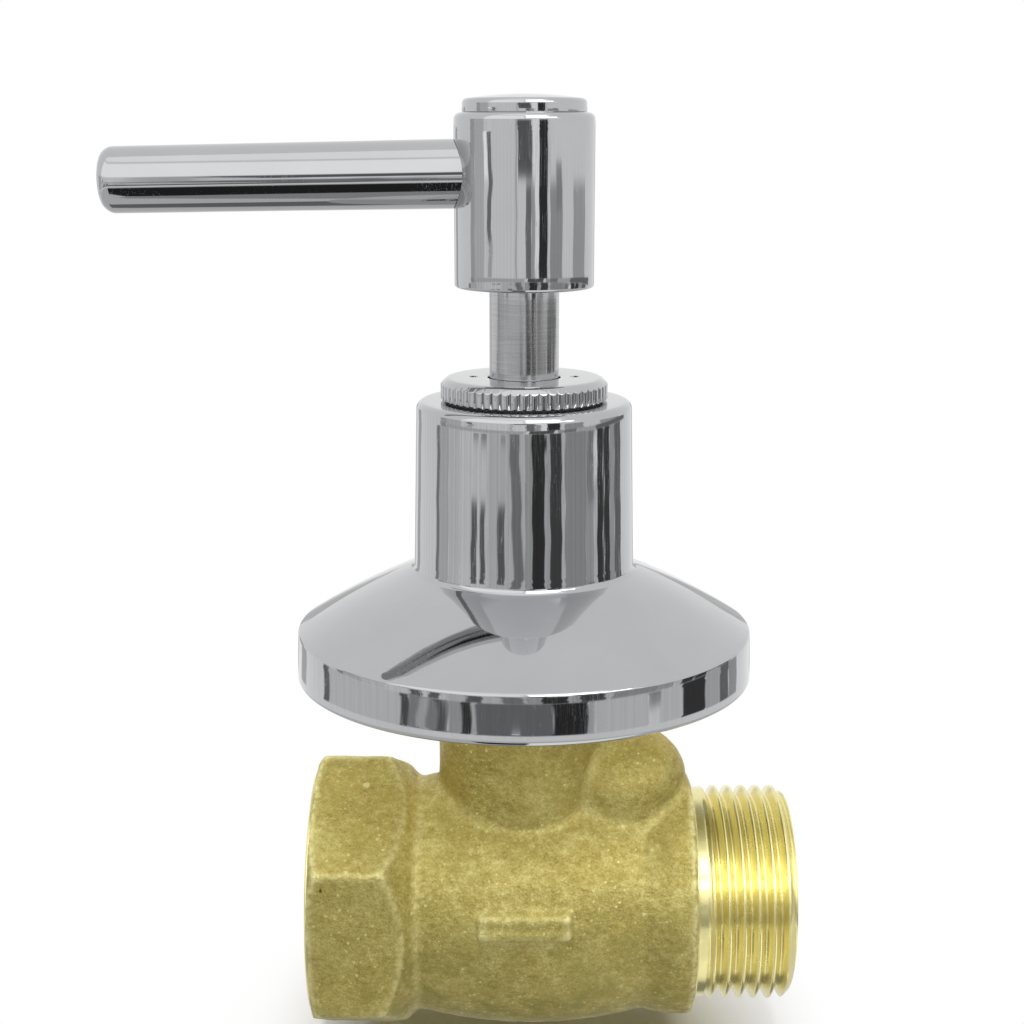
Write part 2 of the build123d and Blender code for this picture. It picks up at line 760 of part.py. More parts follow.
with BuildPart() as lever_rod:
    lever_side = Plane(origin=lever_plane.origin, x_dir=lever_plane.z_dir, z_dir=(0, -1, 0))
    tip_flat = lever_reach - lever_tip_dome
    with BuildSketch(lever_side):
        with BuildLine():
            Polyline(
                (lever_reach, 0),
                (lever_seat_offset - lever_stud_length, 0),
                (lever_seat_offset - lever_stud_length, lever_stud_radius),
                (lever_seat_offset, lever_stud_radius),
                (lever_seat_offset, lever_root_radius),
                (tip_flat, lever_tip_radius),
            )
            TangentArc((lever_reach, 0), (tip_flat, lever_tip_radius), tangent=(0, 1))
        make_face()
        fillet(vertices().sort_by_distance((tip_flat, lever_tip_radius, 0))[0], lever_tip_round)
    revolve(axis=Axis(lever_plane.origin, lever_plane.z_dir))
lever_rod.part.label = "lever_rod"

# Splined insert, screw and washer that hold the handle
with BuildPart() as spline_insert:
    with BuildSketch(level(insert_bottom)):
        Circle(insert_radius)
    extrude(amount=insert_height)
    with BuildSketch(level(insert_bottom)):
        spline_outline(upper_spline_radius + fit_gap)
    extrude(amount=insert_height, mode=Mode.SUBTRACT)
spline_insert.part.label = "spline_insert"

with BuildPart() as handle_screw_washer:
    with BuildSketch(level(cavity_floor)):
        Circle(screw_washer_radius)
        Circle(screw_shank_radius + fit_gap, mode=Mode.SUBTRACT)
    extrude(amount=screw_washer_thickness)
handle_screw_washer.part.label = "handle_screw_washer"

with BuildPart() as handle_screw:
    with BuildSketch(level(screw_tip)):
        Circle(screw_shank_radius)
    extrude(amount=screw_length)
    with BuildSketch(level(screw_head_bottom)):
        Circle(screw_head_radius)
    extrude(amount=screw_head_height)
    fillet(edges().group_by(Axis.Z)[-1], screw_head_round)
    with BuildSketch(level(screw_head_bottom + screw_head_height)):
        Rectangle(2 * screw_head_radius, screw_slot_width)
    extrude(amount=-screw_slot_depth, mode=Mode.SUBTRACT)
handle_screw.part.label = "handle_screw"

# Cap on the barrel, hollow over the screw, with its gripping ring
o_ring_centre = hub_cavity_radius - o_ring_section - fit_gap / 2
o_ring_floor = o_ring_centre - o_ring_section - fit_gap / 2
with BuildPart() as handle_cap:
    with BuildSketch(upright):
        with BuildLine():
            Polyline(
                (0, hub_top),
                (cap_radius, hub_top),
                (cap_radius, hub_top + cap_head_height),
            )
            TangentArc(
                (0, hub_top + cap_head_height + cap_dome),
                (cap_radius, hub_top + cap_head_height),
                tangent=(1, 0),
            )
            Line((0, hub_top + cap_head_height + cap_dome), (0, hub_top))
        make_face()
        fillet(vertices().group_by(Axis.X)[-1].sort_by(Axis.Y)[-1], cap_edge_round)
    revolve(axis=spindle_axis)
    with BuildSketch(level(cap_plug_bottom)):
        Circle(cap_plug_radius)
    extrude(amount=cap_plug_length)
    with BuildSketch(level(cap_plug_bottom)):
        Circle(cap_plug_radius - cap_plug_wall)
    extrude(amount=cap_plug_length + cap_hollow_rise, mode=Mode.SUBTRACT)
    with BuildSketch(upright):
        with Locations((o_ring_floor, o_ring_height)):
            Rectangle(cap_plug_radius, 2 * o_ring_section + fit_gap, align=(Align.MIN, Align.CENTER))
    revolve(axis=spindle_axis, mode=Mode.SUBTRACT)
handle_cap.part.label = "handle_cap"

with BuildPart() as cap_o_ring:
    with BuildSketch(upright):
        with Locations((o_ring_centre, o_ring_height)):
            Circle(o_ring_section)
    revolve(axis=spindle_axis)
cap_o_ring.part.label = "cap_o_ring"

pieces = [
    valve_body,
    headwork_gasket,
    headwork,
    packing_washer,
    packing_ring,
    gland_nut,
    spindle,
    jumper,
    seat_washer,
    washer_nut,
    extension_sleeve,
    escutcheon_bell,
    ring_washer,
    knurled_ring_nut,
    stem_bush,
    spindle_extension,
    extension_grub_screw,
    handle_hub,
    lever_rod,
    spline_insert,
    handle_screw_washer,
    handle_screw,
    handle_cap,
    cap_o_ring,
]
os.makedirs("parts", exist_ok=True)
for piece in pieces:
    export_step(piece.part, f"parts/{piece.part.label}.step")
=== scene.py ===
"""Concealed stop valve with a chromed lever handle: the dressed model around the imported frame."""

import logging
import math
from dataclasses import dataclass
from enum import Enum
from functools import reduce
from typing import Callable, Optional, Sequence, Union

import bmesh
import bpy
import numpy as np
from mathutils import Matrix, Vector, noise

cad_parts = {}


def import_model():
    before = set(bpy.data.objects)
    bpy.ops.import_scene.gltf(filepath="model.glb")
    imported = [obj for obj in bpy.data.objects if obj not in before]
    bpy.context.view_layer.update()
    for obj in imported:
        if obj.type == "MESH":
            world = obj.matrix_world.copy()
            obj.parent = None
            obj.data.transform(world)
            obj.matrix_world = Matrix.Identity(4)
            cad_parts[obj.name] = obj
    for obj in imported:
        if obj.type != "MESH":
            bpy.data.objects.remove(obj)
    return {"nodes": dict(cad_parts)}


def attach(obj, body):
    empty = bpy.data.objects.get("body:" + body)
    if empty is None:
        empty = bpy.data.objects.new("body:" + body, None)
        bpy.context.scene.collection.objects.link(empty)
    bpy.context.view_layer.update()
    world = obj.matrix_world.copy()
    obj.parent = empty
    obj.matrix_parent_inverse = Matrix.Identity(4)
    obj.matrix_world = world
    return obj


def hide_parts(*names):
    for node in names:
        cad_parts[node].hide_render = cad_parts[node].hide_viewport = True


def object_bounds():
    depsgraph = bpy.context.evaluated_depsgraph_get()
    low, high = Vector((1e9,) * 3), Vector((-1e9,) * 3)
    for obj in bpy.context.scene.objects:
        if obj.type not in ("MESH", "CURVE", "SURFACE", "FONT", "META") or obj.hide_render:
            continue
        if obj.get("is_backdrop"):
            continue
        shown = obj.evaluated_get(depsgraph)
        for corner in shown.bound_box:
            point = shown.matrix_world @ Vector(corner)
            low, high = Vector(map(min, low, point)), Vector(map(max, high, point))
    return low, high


MM = 0.001
AXIS_X = 26.1
NEAR = 1e-5
log = logging.getLogger("stop_valve")

Point = tuple[float, float]
Triple = tuple[float, float, float]
Colour = tuple[float, float, float]
Socket = bpy.types.NodeSocket
Value = Union[Socket, float, Colour]
Reshape = Callable[[float, float, np.ndarray], np.ndarray]
WHITE: Colour = (1.0, 1.0, 1.0)


class Body(Enum):
    """Bodies that a piece can ride on."""

    FIXED = "body"
    HANDLE = "handle"


class Slot(Enum):
    """Material slots of the record."""

    CAST_BRASS = "cast_brass"
    MACHINED_BRASS = "machined_brass"
    CHROME = "chrome_trim"
    TURNED_CHROME = "turned_chrome"
    STEEL = "steel_screw"
    FIBRE = "fibre"
    PACKING = "packing"
    NYLON = "nylon"
    RUBBER = "black_rubber"


# Material building


class Recipe:
    """One node material, built up node by node in millimetres of object space."""

    def __init__(self, name: str) -> None:
        """Starts an empty material with its output.

        Args:
            name: Name of the material.
        """
        self.material = bpy.data.materials.new(name)
        self.material.use_nodes = True
        self.tree = self.material.node_tree
        self.tree.nodes.clear()
        self.output = self.tree.nodes.new("ShaderNodeOutputMaterial")
        coordinates = self.tree.nodes.new("ShaderNodeTexCoord")
        self.millimetres = self.mapped((1 / MM,) * 3, vector=coordinates.outputs["Object"])

    def node(self, kind: str, inputs: dict | None = None, **settings: object) -> bpy.types.Node:
        """Adds a node.

        Args:
            kind: Type name of the node.
            inputs: Values or sockets by input name.
            settings: Properties of the node.

        Returns:
            The new node.
        """
        made = self.tree.nodes.new(kind)
        for key, value in settings.items():
            setattr(made, key, value)
        for key, value in (inputs or {}).items():
            self.feed(made.inputs[key], value)
        return made

    def feed(self, socket: Socket, value: Value) -> None:
        """Links a socket to another one, or sets its value.

        Args:
            socket: Input socket.
            value: Output socket, number, colour or vector.
        """
        if isinstance(value, Socket):
            self.tree.links.new(value, socket)
        elif isinstance(value, tuple) and len(value) == 3 and socket.type == "RGBA":
            socket.default_value = (*value, 1.0)
        else:
            socket.default_value = value

    def mapped(
        self,
        scale: Triple = (1, 1, 1),
        turn: Triple = (0, 0, 0),
        vector: Optional[Socket] = None,
    ) -> Socket:
        """Scales and turns coordinates.

        Args:
            scale: Factor along each axis.
            turn: Angles in degrees.
            vector: Coordinates, or None for plain millimetres.

        Returns:
            The new coordinates' socket.
        """
        angles = tuple(math.radians(angle) for angle in turn)
        inputs = {"Vector": vector or self.millimetres, "Scale": scale, "Rotation": angles}
        return self.node("ShaderNodeMapping", inputs).outputs[0]

    def noise(
        self,
        scale: float,
        detail: float = 3,
        rough: float = 0.55,
        vector: Optional[Socket] = None,
        twist: float = 0.0,
    ) -> Socket:
        """Fractal noise from 0 to 1.

        Args:
            scale: Features per millimetre.
            detail: Octaves.
            rough: Strength of the finer octaves.
            vector: Coordinates, or None for plain millimetres.
            twist: Distortion.

        Returns:
            The noise socket.
        """
        inputs = {
            "Vector": vector or self.millimetres,
            "Scale": scale,
            "Detail": detail,
            "Roughness": rough,
            "Distortion": twist,
        }
        return self.node("ShaderNodeTexNoise", inputs).outputs["Fac"]

    def cells(self, scale: float) -> Socket:
        """Distance to the middle of the nearest of some cells per millimetre."""
        inputs = {"Vector": self.millimetres, "Scale": scale}
        return self.node("ShaderNodeTexVoronoi", inputs).outputs["Distance"]

    def span(
        self, value: Value, low: float, high: float, to_low: float = 0.0, to_high: float = 1.0
    ) -> Socket:
        """Maps a span of values to another, clamped.

        Args:
            value: Socket.
            low: Start of the span.
            high: End of the span.
            to_low: Result at the start.
            to_high: Result at the end.

        Returns:
            The mapped socket.
        """
        inputs = {"Value": value, "From Min": low, "From Max": high, "To Min": to_low, "To Max": to_high}
        return self.node("ShaderNodeMapRange", inputs).outputs[0]

    def maths(self, operation: str, first: Value, second: Value = 0.0, third: Value = 0.0) -> Socket:
        """Arithmetic on sockets or numbers.

        Args:
            operation: Name of the operation.
            first: First value.
            second: Second value.
            third: Third value.

        Returns:
            The result's socket.
        """
        made = self.node("ShaderNodeMath", operation=operation)
        for socket, value in zip(made.inputs, (first, second, third)):
            self.feed(socket, value)
        return made.outputs[0]

    def times(self, first: Value, second: Value) -> Socket:
        """Product of two values."""
        return self.maths("MULTIPLY", first, second)

    def plus(self, value: Value, factor: float, base: Value) -> Socket:
        """A value times a factor, added to a base."""
        return self.maths("MULTIPLY_ADD", value, factor, base)

    def highest(self, *values: Value) -> Socket:
        """Highest of some values."""
        return reduce(lambda first, second: self.maths("MAXIMUM", first, second), values)

    def blend(self, share: Value, first: Value, second: Value) -> Socket:
        """Mixes two colours.

        Args:
            share: Share of the second colour.
            first: First colour.
            second: Second colour.

        Returns:
            The mixed colour's socket.
        """
        made = self.node("ShaderNodeMix", data_type="RGBA")
        wanted = {"Factor_Float": share, "A_Color": first, "B_Color": second}
        for socket in made.inputs:
            if socket.identifier in wanted:
                self.feed(socket, wanted[socket.identifier])
        return next(socket for socket in made.outputs if socket.identifier == "Result_Color")

    def ramp(self, value: Value, stops: Sequence[tuple[float, Colour]]) -> Socket:
        """Colour ramp.

        Args:
            value: Position on the ramp.
            stops: Positions and their colours.

        Returns:
            The colour's socket.
        """
        made = self.node("ShaderNodeValToRGB", {"Fac": value})
        ramp = made.color_ramp
        while len(ramp.elements) < len(stops):
            ramp.elements.new(0.5)
        for element, (position, colour) in zip(ramp.elements, stops):
            element.position = position
            element.color = (*colour, 1.0)
        return made.outputs["Color"]

    def relief(self, height: Value, depth: float, below: Optional[Socket] = None) -> Socket:
        """Turns a height into a bumped normal.

        Args:
            height: Height socket, 0 to 1.
            depth: Real depth of the whole range in millimetres.
            below: Normal of a relief underneath.

        Returns:
            The normal's socket.
        """
        inputs = {"Height": height, "Strength": 1.0, "Distance": depth * MM}
        if below is not None:
            inputs["Normal"] = below
        return self.node("ShaderNodeBump", inputs).outputs[0]

    def attribute(self, name: str) -> Socket:
        """Named value stored in the mesh's points."""
        return self.node("ShaderNodeAttribute", attribute_name=name).outputs["Fac"]

    def part_of(self, vector: Value, axis: str) -> Socket:
        """One component of coordinates."""
        return self.node("ShaderNodeSeparateXYZ", {"Vector": vector}).outputs[axis]

    def surface(self, **inputs: Value) -> bpy.types.Material:
        """Adds the main shader.

        Args:
            inputs: Inputs of the shader, with underscores for spaces.

        Returns:
            The finished material.
        """
        named = {key.replace("_", " "): value for key, value in inputs.items()}
        return self.shown(self.node("ShaderNodeBsdfPrincipled", named))

    def shown(self, shader: bpy.types.Node) -> bpy.types.Material:
        """Gives the material its last shader."""
        self.tree.links.new(shader.outputs[0], self.output.inputs["Surface"])
        return self.material


def darker(shade: Colour, share: float) -> Colour:
    """A colour times a share."""
    return tuple(part * share for part in shade)


def scratches(recipe: Recipe, turn: Triple, scale: float, share: float) -> Socket:
    """Fine straight scratches in one direction.

    Args:
        recipe: Material being built.
        turn: Direction of the scratches, in degrees.
        scale: Lines per millimetre across.
        share: Share of the surface that they cover.

    Returns:
        A mask socket, 1 on a scratch.
    """
    stretch = 0.035
    half_width = 0.004
    lines = recipe.noise(1.0, 1, 0.4, recipe.mapped((scale, scale, stretch * scale), turn))
    places = recipe.noise(0.11, 1, 0.5, recipe.mapped(turn=turn))
    fine = recipe.span(lines, 0.5 - half_width, 0.5 + half_width)
    peak = recipe.maths("SUBTRACT", 1.0, recipe.maths("ABSOLUTE", recipe.plus(fine, 2.0, -1.0)))
    return recipe.times(peak, recipe.span(places, 0.62 - share, 0.66 - share))


@dataclass(frozen=True)
class PolishedChrome:
    """Bright chrome plate over polished brass."""

    name: str = "polished_chrome"
    shade: Colour = (0.475, 0.48, 0.492)
    mark: Colour = (0.62, 0.62, 0.63)
    roughness: float = 0.03
    waviness: float = 0.012
    mark_depth: float = 0.0008
    # Direction in degrees, lines per millimetre and share of each set of scratches
    hairs: tuple[tuple[Triple, float, float], ...] = (
        ((24, 38, 38), 2.6, 0.08),
        ((-31, -42, -15), 3.1, 0.06),
        ((14, -65, 70), 2.0, 0.07),
    )

    def make(self) -> bpy.types.Material:
        """Builds the plate with slight waves, hairline scratches and dull specks.

        Returns:
            The material.
        """
        recipe = Recipe(self.name)
        normal = recipe.relief(recipe.noise(0.16, 2, 0.5, recipe.mapped((1, 1, 0.35))), self.waviness)
        specks = recipe.span(recipe.cells(0.55), 0.05, 0.11, 1, 0)
        specks = recipe.times(specks, recipe.span(recipe.noise(0.45, 1), 0.60, 0.64))
        marks = recipe.highest(*(scratches(recipe, *hair) for hair in self.hairs), specks)
        normal = recipe.relief(recipe.times(marks, -1.0), self.mark_depth, normal)
        cloud = recipe.span(recipe.noise(0.09, 4, 0.6), 0.35, 0.75)
        rough = recipe.plus(marks, 0.08, recipe.plus(cloud, 0.025, self.roughness))
        tint = recipe.blend(cloud, self.shade, darker(self.shade, 0.94))
        tint = recipe.blend(recipe.times(marks, 0.25), tint, self.mark)
        return recipe.surface(Base_Color=tint, Metallic=1.0, Roughness=rough, Normal=normal)


@dataclass(frozen=True)
class TurnedChrome:
    """Chrome plate over a finely turned stem, with its rings still showing."""

    name: str = "turned_chrome"
    shade: Colour = (0.46, 0.462, 0.47)
    roughness: float = 0.08
    rings: float = 0.0012

    def make(self) -> bpy.types.Material:
        """Builds the plate with turning rings along the spindle's axis.

        Returns:
            The material.
        """
        recipe = Recipe(self.name)
        along = recipe.mapped((0.02, 0.02, 1))
        fine = recipe.noise(9.0, 2, 0.6, along)
        coarse = recipe.noise(2.2, 2, 0.6, along)
        normal = recipe.relief(recipe.plus(coarse, 0.6, fine), self.rings)
        rough = recipe.plus(coarse, 0.10, self.roughness)
        tint = recipe.blend(recipe.span(fine, 0.35, 0.7), self.shade, darker(self.shade, 0.84))
        return recipe.surface(Base_Color=tint, Metallic=1.0, Roughness=rough, Normal=normal)


@dataclass(frozen=True)
class CastBrass:
    """Sand-cast brass, tumbled: grainy, olive and brown, with bright specks and rubbed edges on what stands
    proud; the specks are partly painted glints, the edges carry a painted highlight too, the creases a
    painted highlight, the olive deepens towards the bottom as painted shade and a pit is painted near-black
    as shade.
    """

    name: str = "cast_brass"
    dark: Colour = (0.36, 0.275, 0.065)
    middle: Colour = (0.57, 0.475, 0.14)
    light: Colour = (0.78, 0.72, 0.28)
    # Bright specks, partly painted glints
    fleck_and_glint: Colour = (0.98, 0.92, 0.42)
    # Pale colour of rubbed edges, also of their painted highlight and of the painted highlight in creases
    wear_and_highlight: Colour = (0.95, 0.88, 0.42)
    brown: Colour = (0.55, 0.42, 0.10)
    # Olive patches, partly real tone, deepened towards the bottom as painted shade
    olive: Colour = (0.36, 0.315, 0.07)
    # Near-black of the painted shade inside the pit
    hole: Colour = (0.08, 0.06, 0.02)
    nick: Triple = (6.8, -4.1, 15.8)
    nick_radius: float = 0.55
    pit: Triple = (2.1, -15.75, 7.3)
    pit_radius: float = 0.3
    depth: float = 0.15
    metallic: float = 0.33
    specular: float = 0.25

    def make(self) -> bpy.types.Material:
        """Builds the casting's grain, stains, bright specks that are partly painted glints, rubbed edges with
        a painted highlight, a painted highlight in creases, and painted shade in the olive towards the bottom
        and in a pit.

        Returns:
            The material.
        """
        recipe = Recipe(self.name)
        height = recipe.part_of(recipe.millimetres, "Z")
        broad = recipe.noise(0.12, 3, 0.55)
        patches = recipe.noise(0.55, 4, 0.65)
        middle = recipe.noise(1.5, 4, 0.7, recipe.mapped((0.8, 0.8, 1.1)))
        grain = recipe.noise(4.2, 2, 0.6)
        tone = recipe.plus(patches, 0.35, recipe.times(broad, 0.4))
        tone = recipe.plus(grain, 0.5, recipe.plus(middle, 0.75, tone))
        tone = recipe.span(tone, 0.76, 1.24)
        colour = recipe.ramp(tone, ((0.0, self.dark), (0.5, self.middle), (1.0, self.light)))
        brown = recipe.span(recipe.noise(0.20, 3), 0.42, 0.66)
        brown = recipe.times(brown, recipe.span(height, 6, 20, 0.15, 0.55))
        colour = recipe.blend(brown, colour, self.brown)
        # Painted shade: the olive patches deepen towards the bottom, where the casting faces away from the
        # light.
        olive = recipe.span(recipe.noise(0.3, 2, twist=0.3), 0.40, 0.66)
        olive = recipe.times(olive, recipe.span(height, 6, -10, 0.15, 0.8))
        colour = recipe.blend(olive, colour, self.olive)
        broken = recipe.span(recipe.noise(1.1, 3, 0.6), 0.30, 0.58)
        # Painted highlight: concave creases are lightened towards the pale edge colour.
        crease_highlight = recipe.times(recipe.attribute("crease_highlight"), recipe.span(broken, 0, 1, 0.12, 0.36))
        colour = recipe.blend(crease_highlight, colour, self.wear_and_highlight)
        # Bright edges: partly rubbed metal, partly a painted highlight on the ridges.
        edge = recipe.times(recipe.times(recipe.attribute("edge"), broken), 0.9)
        colour = recipe.blend(edge, colour, self.wear_and_highlight)
        # Bright specks: partly bare metal, partly painted glints.
        flecks_and_glints = recipe.highest(
            recipe.times(self.flakes(recipe, 1.0, 0.36), self.where(recipe, 0.17, 0.42)),
            recipe.times(self.flakes(recipe, 2.0, 0.31), self.where(recipe, 0.23, 0.42)),
            self.spot(recipe, self.nick, self.nick_radius),
        )
        colour = recipe.blend(recipe.times(flecks_and_glints, 0.7), colour, self.fleck_and_glint)
        # Painted shade: a near-black spot stands for the shade inside a pit.
        colour = recipe.blend(self.spot(recipe, self.pit, self.pit_radius), colour, self.hole)
        rough = recipe.span(tone, 0.0, 1.0, 0.56, 0.42)
        rough = recipe.plus(recipe.highest(flecks_and_glints, edge), -0.14, rough)
        relief = recipe.plus(middle, 0.8, recipe.times(patches, 0.9))
        relief = recipe.plus(flecks_and_glints, 0.2, recipe.plus(grain, 0.35, relief))
        return recipe.surface(
            Base_Color=colour,
            Metallic=self.metallic,
            Roughness=rough,
            Specular_IOR_Level=self.specular,
            Normal=recipe.relief(relief, self.depth),
        )

    def spot(self, recipe: Recipe, centre: Triple, radius: float) -> Socket:
        """One small ragged spot.

        Args:
            recipe: Material being built.
            centre: Its place in millimetres.
            radius: Its radius in millimetres.

        Returns:
            The mask.
        """
        squeeze = 0.55
        place = recipe.mapped((1.0, 1.0, squeeze))
        ends = {0: place, 1: (centre[0], centre[1], centre[2] * squeeze)}
        away = recipe.node("ShaderNodeVectorMath", ends, operation="DISTANCE").outputs["Value"]
        return recipe.span(recipe.plus(recipe.noise(1.6, 2), 0.5, away), radius, radius + 0.15, 1.0, 0.0)

    def flakes(self, recipe: Recipe, scale: float, share: float) -> Socket:
        """Small ragged flakes of bright metal, partly painted glints.

        Args:
            recipe: Material being built.
            scale: Flakes per millimetre.
            share: How readily they appear.

        Returns:
            The mask.
        """
        away = recipe.plus(recipe.noise(scale * 3, 2), 0.5, recipe.cells(scale))
        return recipe.span(away, share, share + 0.1, 1.0, 0.0)

    def where(self, recipe: Recipe, scale: float, level: float) -> Socket:
        """Broad patches in which flakes show."""
        return recipe.span(recipe.noise(scale, 2), level, level + 0.22, 0.15, 1.0)


@dataclass(frozen=True)
class MachinedBrass:
    """Fresh turned brass: pale, bright, with fine tool lines along one axis."""

    name: str = "machined_brass"
    axis: str = "X"
    shade: Colour = (0.87, 0.80, 0.40)
    shadow: Colour = (0.76, 0.65, 0.24)
    roughness: float = 0.27
    brushing: float = 0.8
    quarter_turn: float = 0.25
    lines: float = 0.0015

    def make(self) -> bpy.types.Material:
        """Builds the turned surface.

        Returns:
            The material.
        """
        recipe = Recipe(self.name)
        squeeze = {"X": (1, 0.03, 0.03), "Z": (0.03, 0.03, 1)}[self.axis]
        along = recipe.mapped(squeeze)
        fine = recipe.noise(11.0, 2, 0.6, along)
        coarse = recipe.noise(2.6, 2, 0.6, along)
        stains = recipe.span(recipe.noise(0.35, 4, 0.6), 0.42, 0.72)
        tint = recipe.blend(recipe.times(stains, 0.3), self.shade, self.shadow)
        tint = recipe.blend(recipe.span(fine, 0.4, 0.7, 0, 0.25), tint, self.shadow)
        round_axis = recipe.node("ShaderNodeTangent", direction_type="RADIAL", axis=self.axis).outputs[0]
        return recipe.surface(
            Base_Color=tint,
            Metallic=1.0,
            Roughness=recipe.plus(stains, 0.06, self.roughness),
            Normal=recipe.relief(recipe.plus(coarse, 0.7, fine), self.lines),
            Anisotropic=self.brushing,
            Anisotropic_Rotation=self.quarter_turn,
            Tangent=round_axis,
        )


@dataclass(frozen=True)
class SteelScrew:
    """Zinc-plated steel."""

    name: str = "zinc_steel"
    shade: Colour = (0.46, 0.46, 0.47)
    shadow: Colour = (0.36, 0.36, 0.38)
    depth: float = 0.01

    def make(self) -> bpy.types.Material:
        """Builds a dull grey plate with fine spots.

        Returns:
            The material.
        """
        recipe = Recipe(self.name)
        spots = recipe.noise(2.4, 3, 0.6)
        tint = recipe.blend(recipe.span(spots, 0.35, 0.7), self.shade, self.shadow)
        rough = recipe.span(spots, 0.3, 0.7, 0.24, 0.36)
        normal = recipe.relief(spots, self.depth)
        return recipe.surface(Base_Color=tint, Metallic=1.0, Roughness=rough, Normal=normal)


@dataclass(frozen=True)
class Moulded:
    """Moulded or pressed material that isn't metal: nylon, rubber, fibre or packing."""

    name: str
    shade: Colour
    second: Colour
    roughness: float
    grain: float
    depth: float

    def make(self) -> bpy.types.Material:
        """Builds the grain and its two tones.

        Returns:
            The material.
        """
        recipe = Recipe(self.name)
        fine = recipe.noise(self.grain, 4, 0.65)
        broad = recipe.noise(self.grain * 0.12, 3, 0.5)
        tint = recipe.blend(recipe.span(broad, 0.35, 0.7), self.shade, self.second)
        rough = recipe.span(fine, 0.3, 0.7, self.roughness - 0.06, self.roughness + 0.06)
        return recipe.surface(Base_Color=tint, Roughness=rough, Normal=recipe.relief(fine, self.depth))


class Workshop:
    """Makes each finish once and hands it out."""

    def __init__(self) -> None:
        """Lists the finishes by slot."""
        self.finishes = {
            Slot.CAST_BRASS: CastBrass(),
            Slot.MACHINED_BRASS: MachinedBrass(),
            Slot.CHROME: PolishedChrome(),
            Slot.TURNED_CHROME: TurnedChrome(),
            Slot.STEEL: SteelScrew(),
            Slot.FIBRE: Moulded("fibre", (0.045, 0.045, 0.05), (0.07, 0.065, 0.06), 0.6, 5.0, 0.03),
            Slot.PACKING: Moulded("packing", (0.78, 0.77, 0.72), (0.66, 0.64, 0.58), 0.65, 3.5, 0.05),
            Slot.NYLON: Moulded("nylon", (0.80, 0.79, 0.75), (0.74, 0.73, 0.68), 0.38, 2.5, 0.01),
            Slot.RUBBER: Moulded("rubber", (0.025, 0.025, 0.026), (0.04, 0.04, 0.04), 0.55, 4.0, 0.015),
        }
        self.upright_brass = MachinedBrass(name="machined_brass_upright", axis="Z")
        self.made: dict[str, bpy.types.Material] = {}

    def finish(self, slot: Slot, upright: bool = False) -> bpy.types.Material:
        """Gives the material of a slot.

        Args:
            slot: Material slot.
            upright: True for turned brass whose axis is the spindle's.

        Returns:
            The material.
        """
        recipe = self.upright_brass if upright and slot is Slot.MACHINED_BRASS else self.finishes[slot]
        if recipe.name not in self.made:
            self.made[recipe.name] = recipe.make()
        return self.made[recipe.name]

    def dress(self, piece: bpy.types.Object, slot: Slot, body: Body, *nodes: str) -> bpy.types.Object:
        """Gives a new piece its finish, body and the nodes that it stands for.

        Args:
            piece: New piece.
            slot: Material slot.
            body: Body that it rides on.
            nodes: Nodes that it replaces.

        Returns:
            The piece.
        """
        piece.data.materials.append(self.finish(slot))
        piece.visible_shadow = slot is not Slot.CHROME
        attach(piece, body.value)
        if nodes:
            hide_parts(*nodes)
        log.info("%s: %d faces", piece.name, len(piece.data.polygons))
        return piece


# Mesh building


@dataclass(frozen=True)
class Corner:
    """A corner of a turned outline, in millimetres."""

    radius: float
    height: float
    rounding: float = 0.0


def rounded(corners: Sequence[Corner], steps: int = 7) -> list[Point]:
    """Rounds the corners of a closed outline.

    Args:
        corners: Corners in order.
        steps: Runs in each round.

    Returns:
        Radius and height pairs.
    """
    points: list[Point] = []
    for index, corner in enumerate(corners):
        here = Vector((corner.radius, corner.height))
        if corner.rounding <= 0:
            points.append((here.x, here.y))
            continue
        before = corners[index - 1]
        after = corners[(index + 1) % len(corners)]
        back = (Vector((before.radius, before.height)) - here).normalized()
        ahead = (Vector((after.radius, after.height)) - here).normalized()
        half = back.angle(ahead) / 2
        centre = here + (back + ahead).normalized() * (corner.rounding / math.sin(half))
        start = here + back * (corner.rounding / math.tan(half)) - centre
        end = here + ahead * (corner.rounding / math.tan(half)) - centre
        sweep = math.atan2(start.x * end.y - start.y * end.x, start.dot(end))
        for step in range(steps + 1):
            swung = Matrix.Rotation(sweep * step / steps, 2) @ start
            points.append((centre.x + swung.x, centre.y + swung.y))
    return points


def spread(points: Sequence[Point], longest: float) -> list[Point]:
    """Divides long runs of a closed outline.

    Args:
        points: Outline.
        longest: Longest run that is left, in millimetres.

    Returns:
        The outline with more points.
    """
    result: list[Point] = []
    for index, start in enumerate(points):
        end = points[(index + 1) % len(points)]
        parts = max(1, math.ceil(math.dist(start, end) / longest))
        for part in range(parts):
            share = part / parts
            result.append((start[0] + (end[0] - start[0]) * share, start[1] + (end[1] - start[1]) * share))
    return result


def rod(radius: float, low: float, high: float) -> list[Point]:
    """Outline of a plain round rod."""
    return [(0, low), (radius, low), (radius, high), (0, high)]


def around(
    radii: float | np.ndarray, heights: float | np.ndarray, angles: np.ndarray
) -> np.ndarray:
    """Points round the axis.

    Args:
        radii: One radius, or one for each angle.
        heights: One height, or one for each angle.
        angles: Angles round the axis.

    Returns:
        A row for each point.
    """
    return np.stack(np.broadcast_arrays(radii * np.cos(angles), radii * np.sin(angles), heights), axis=1)


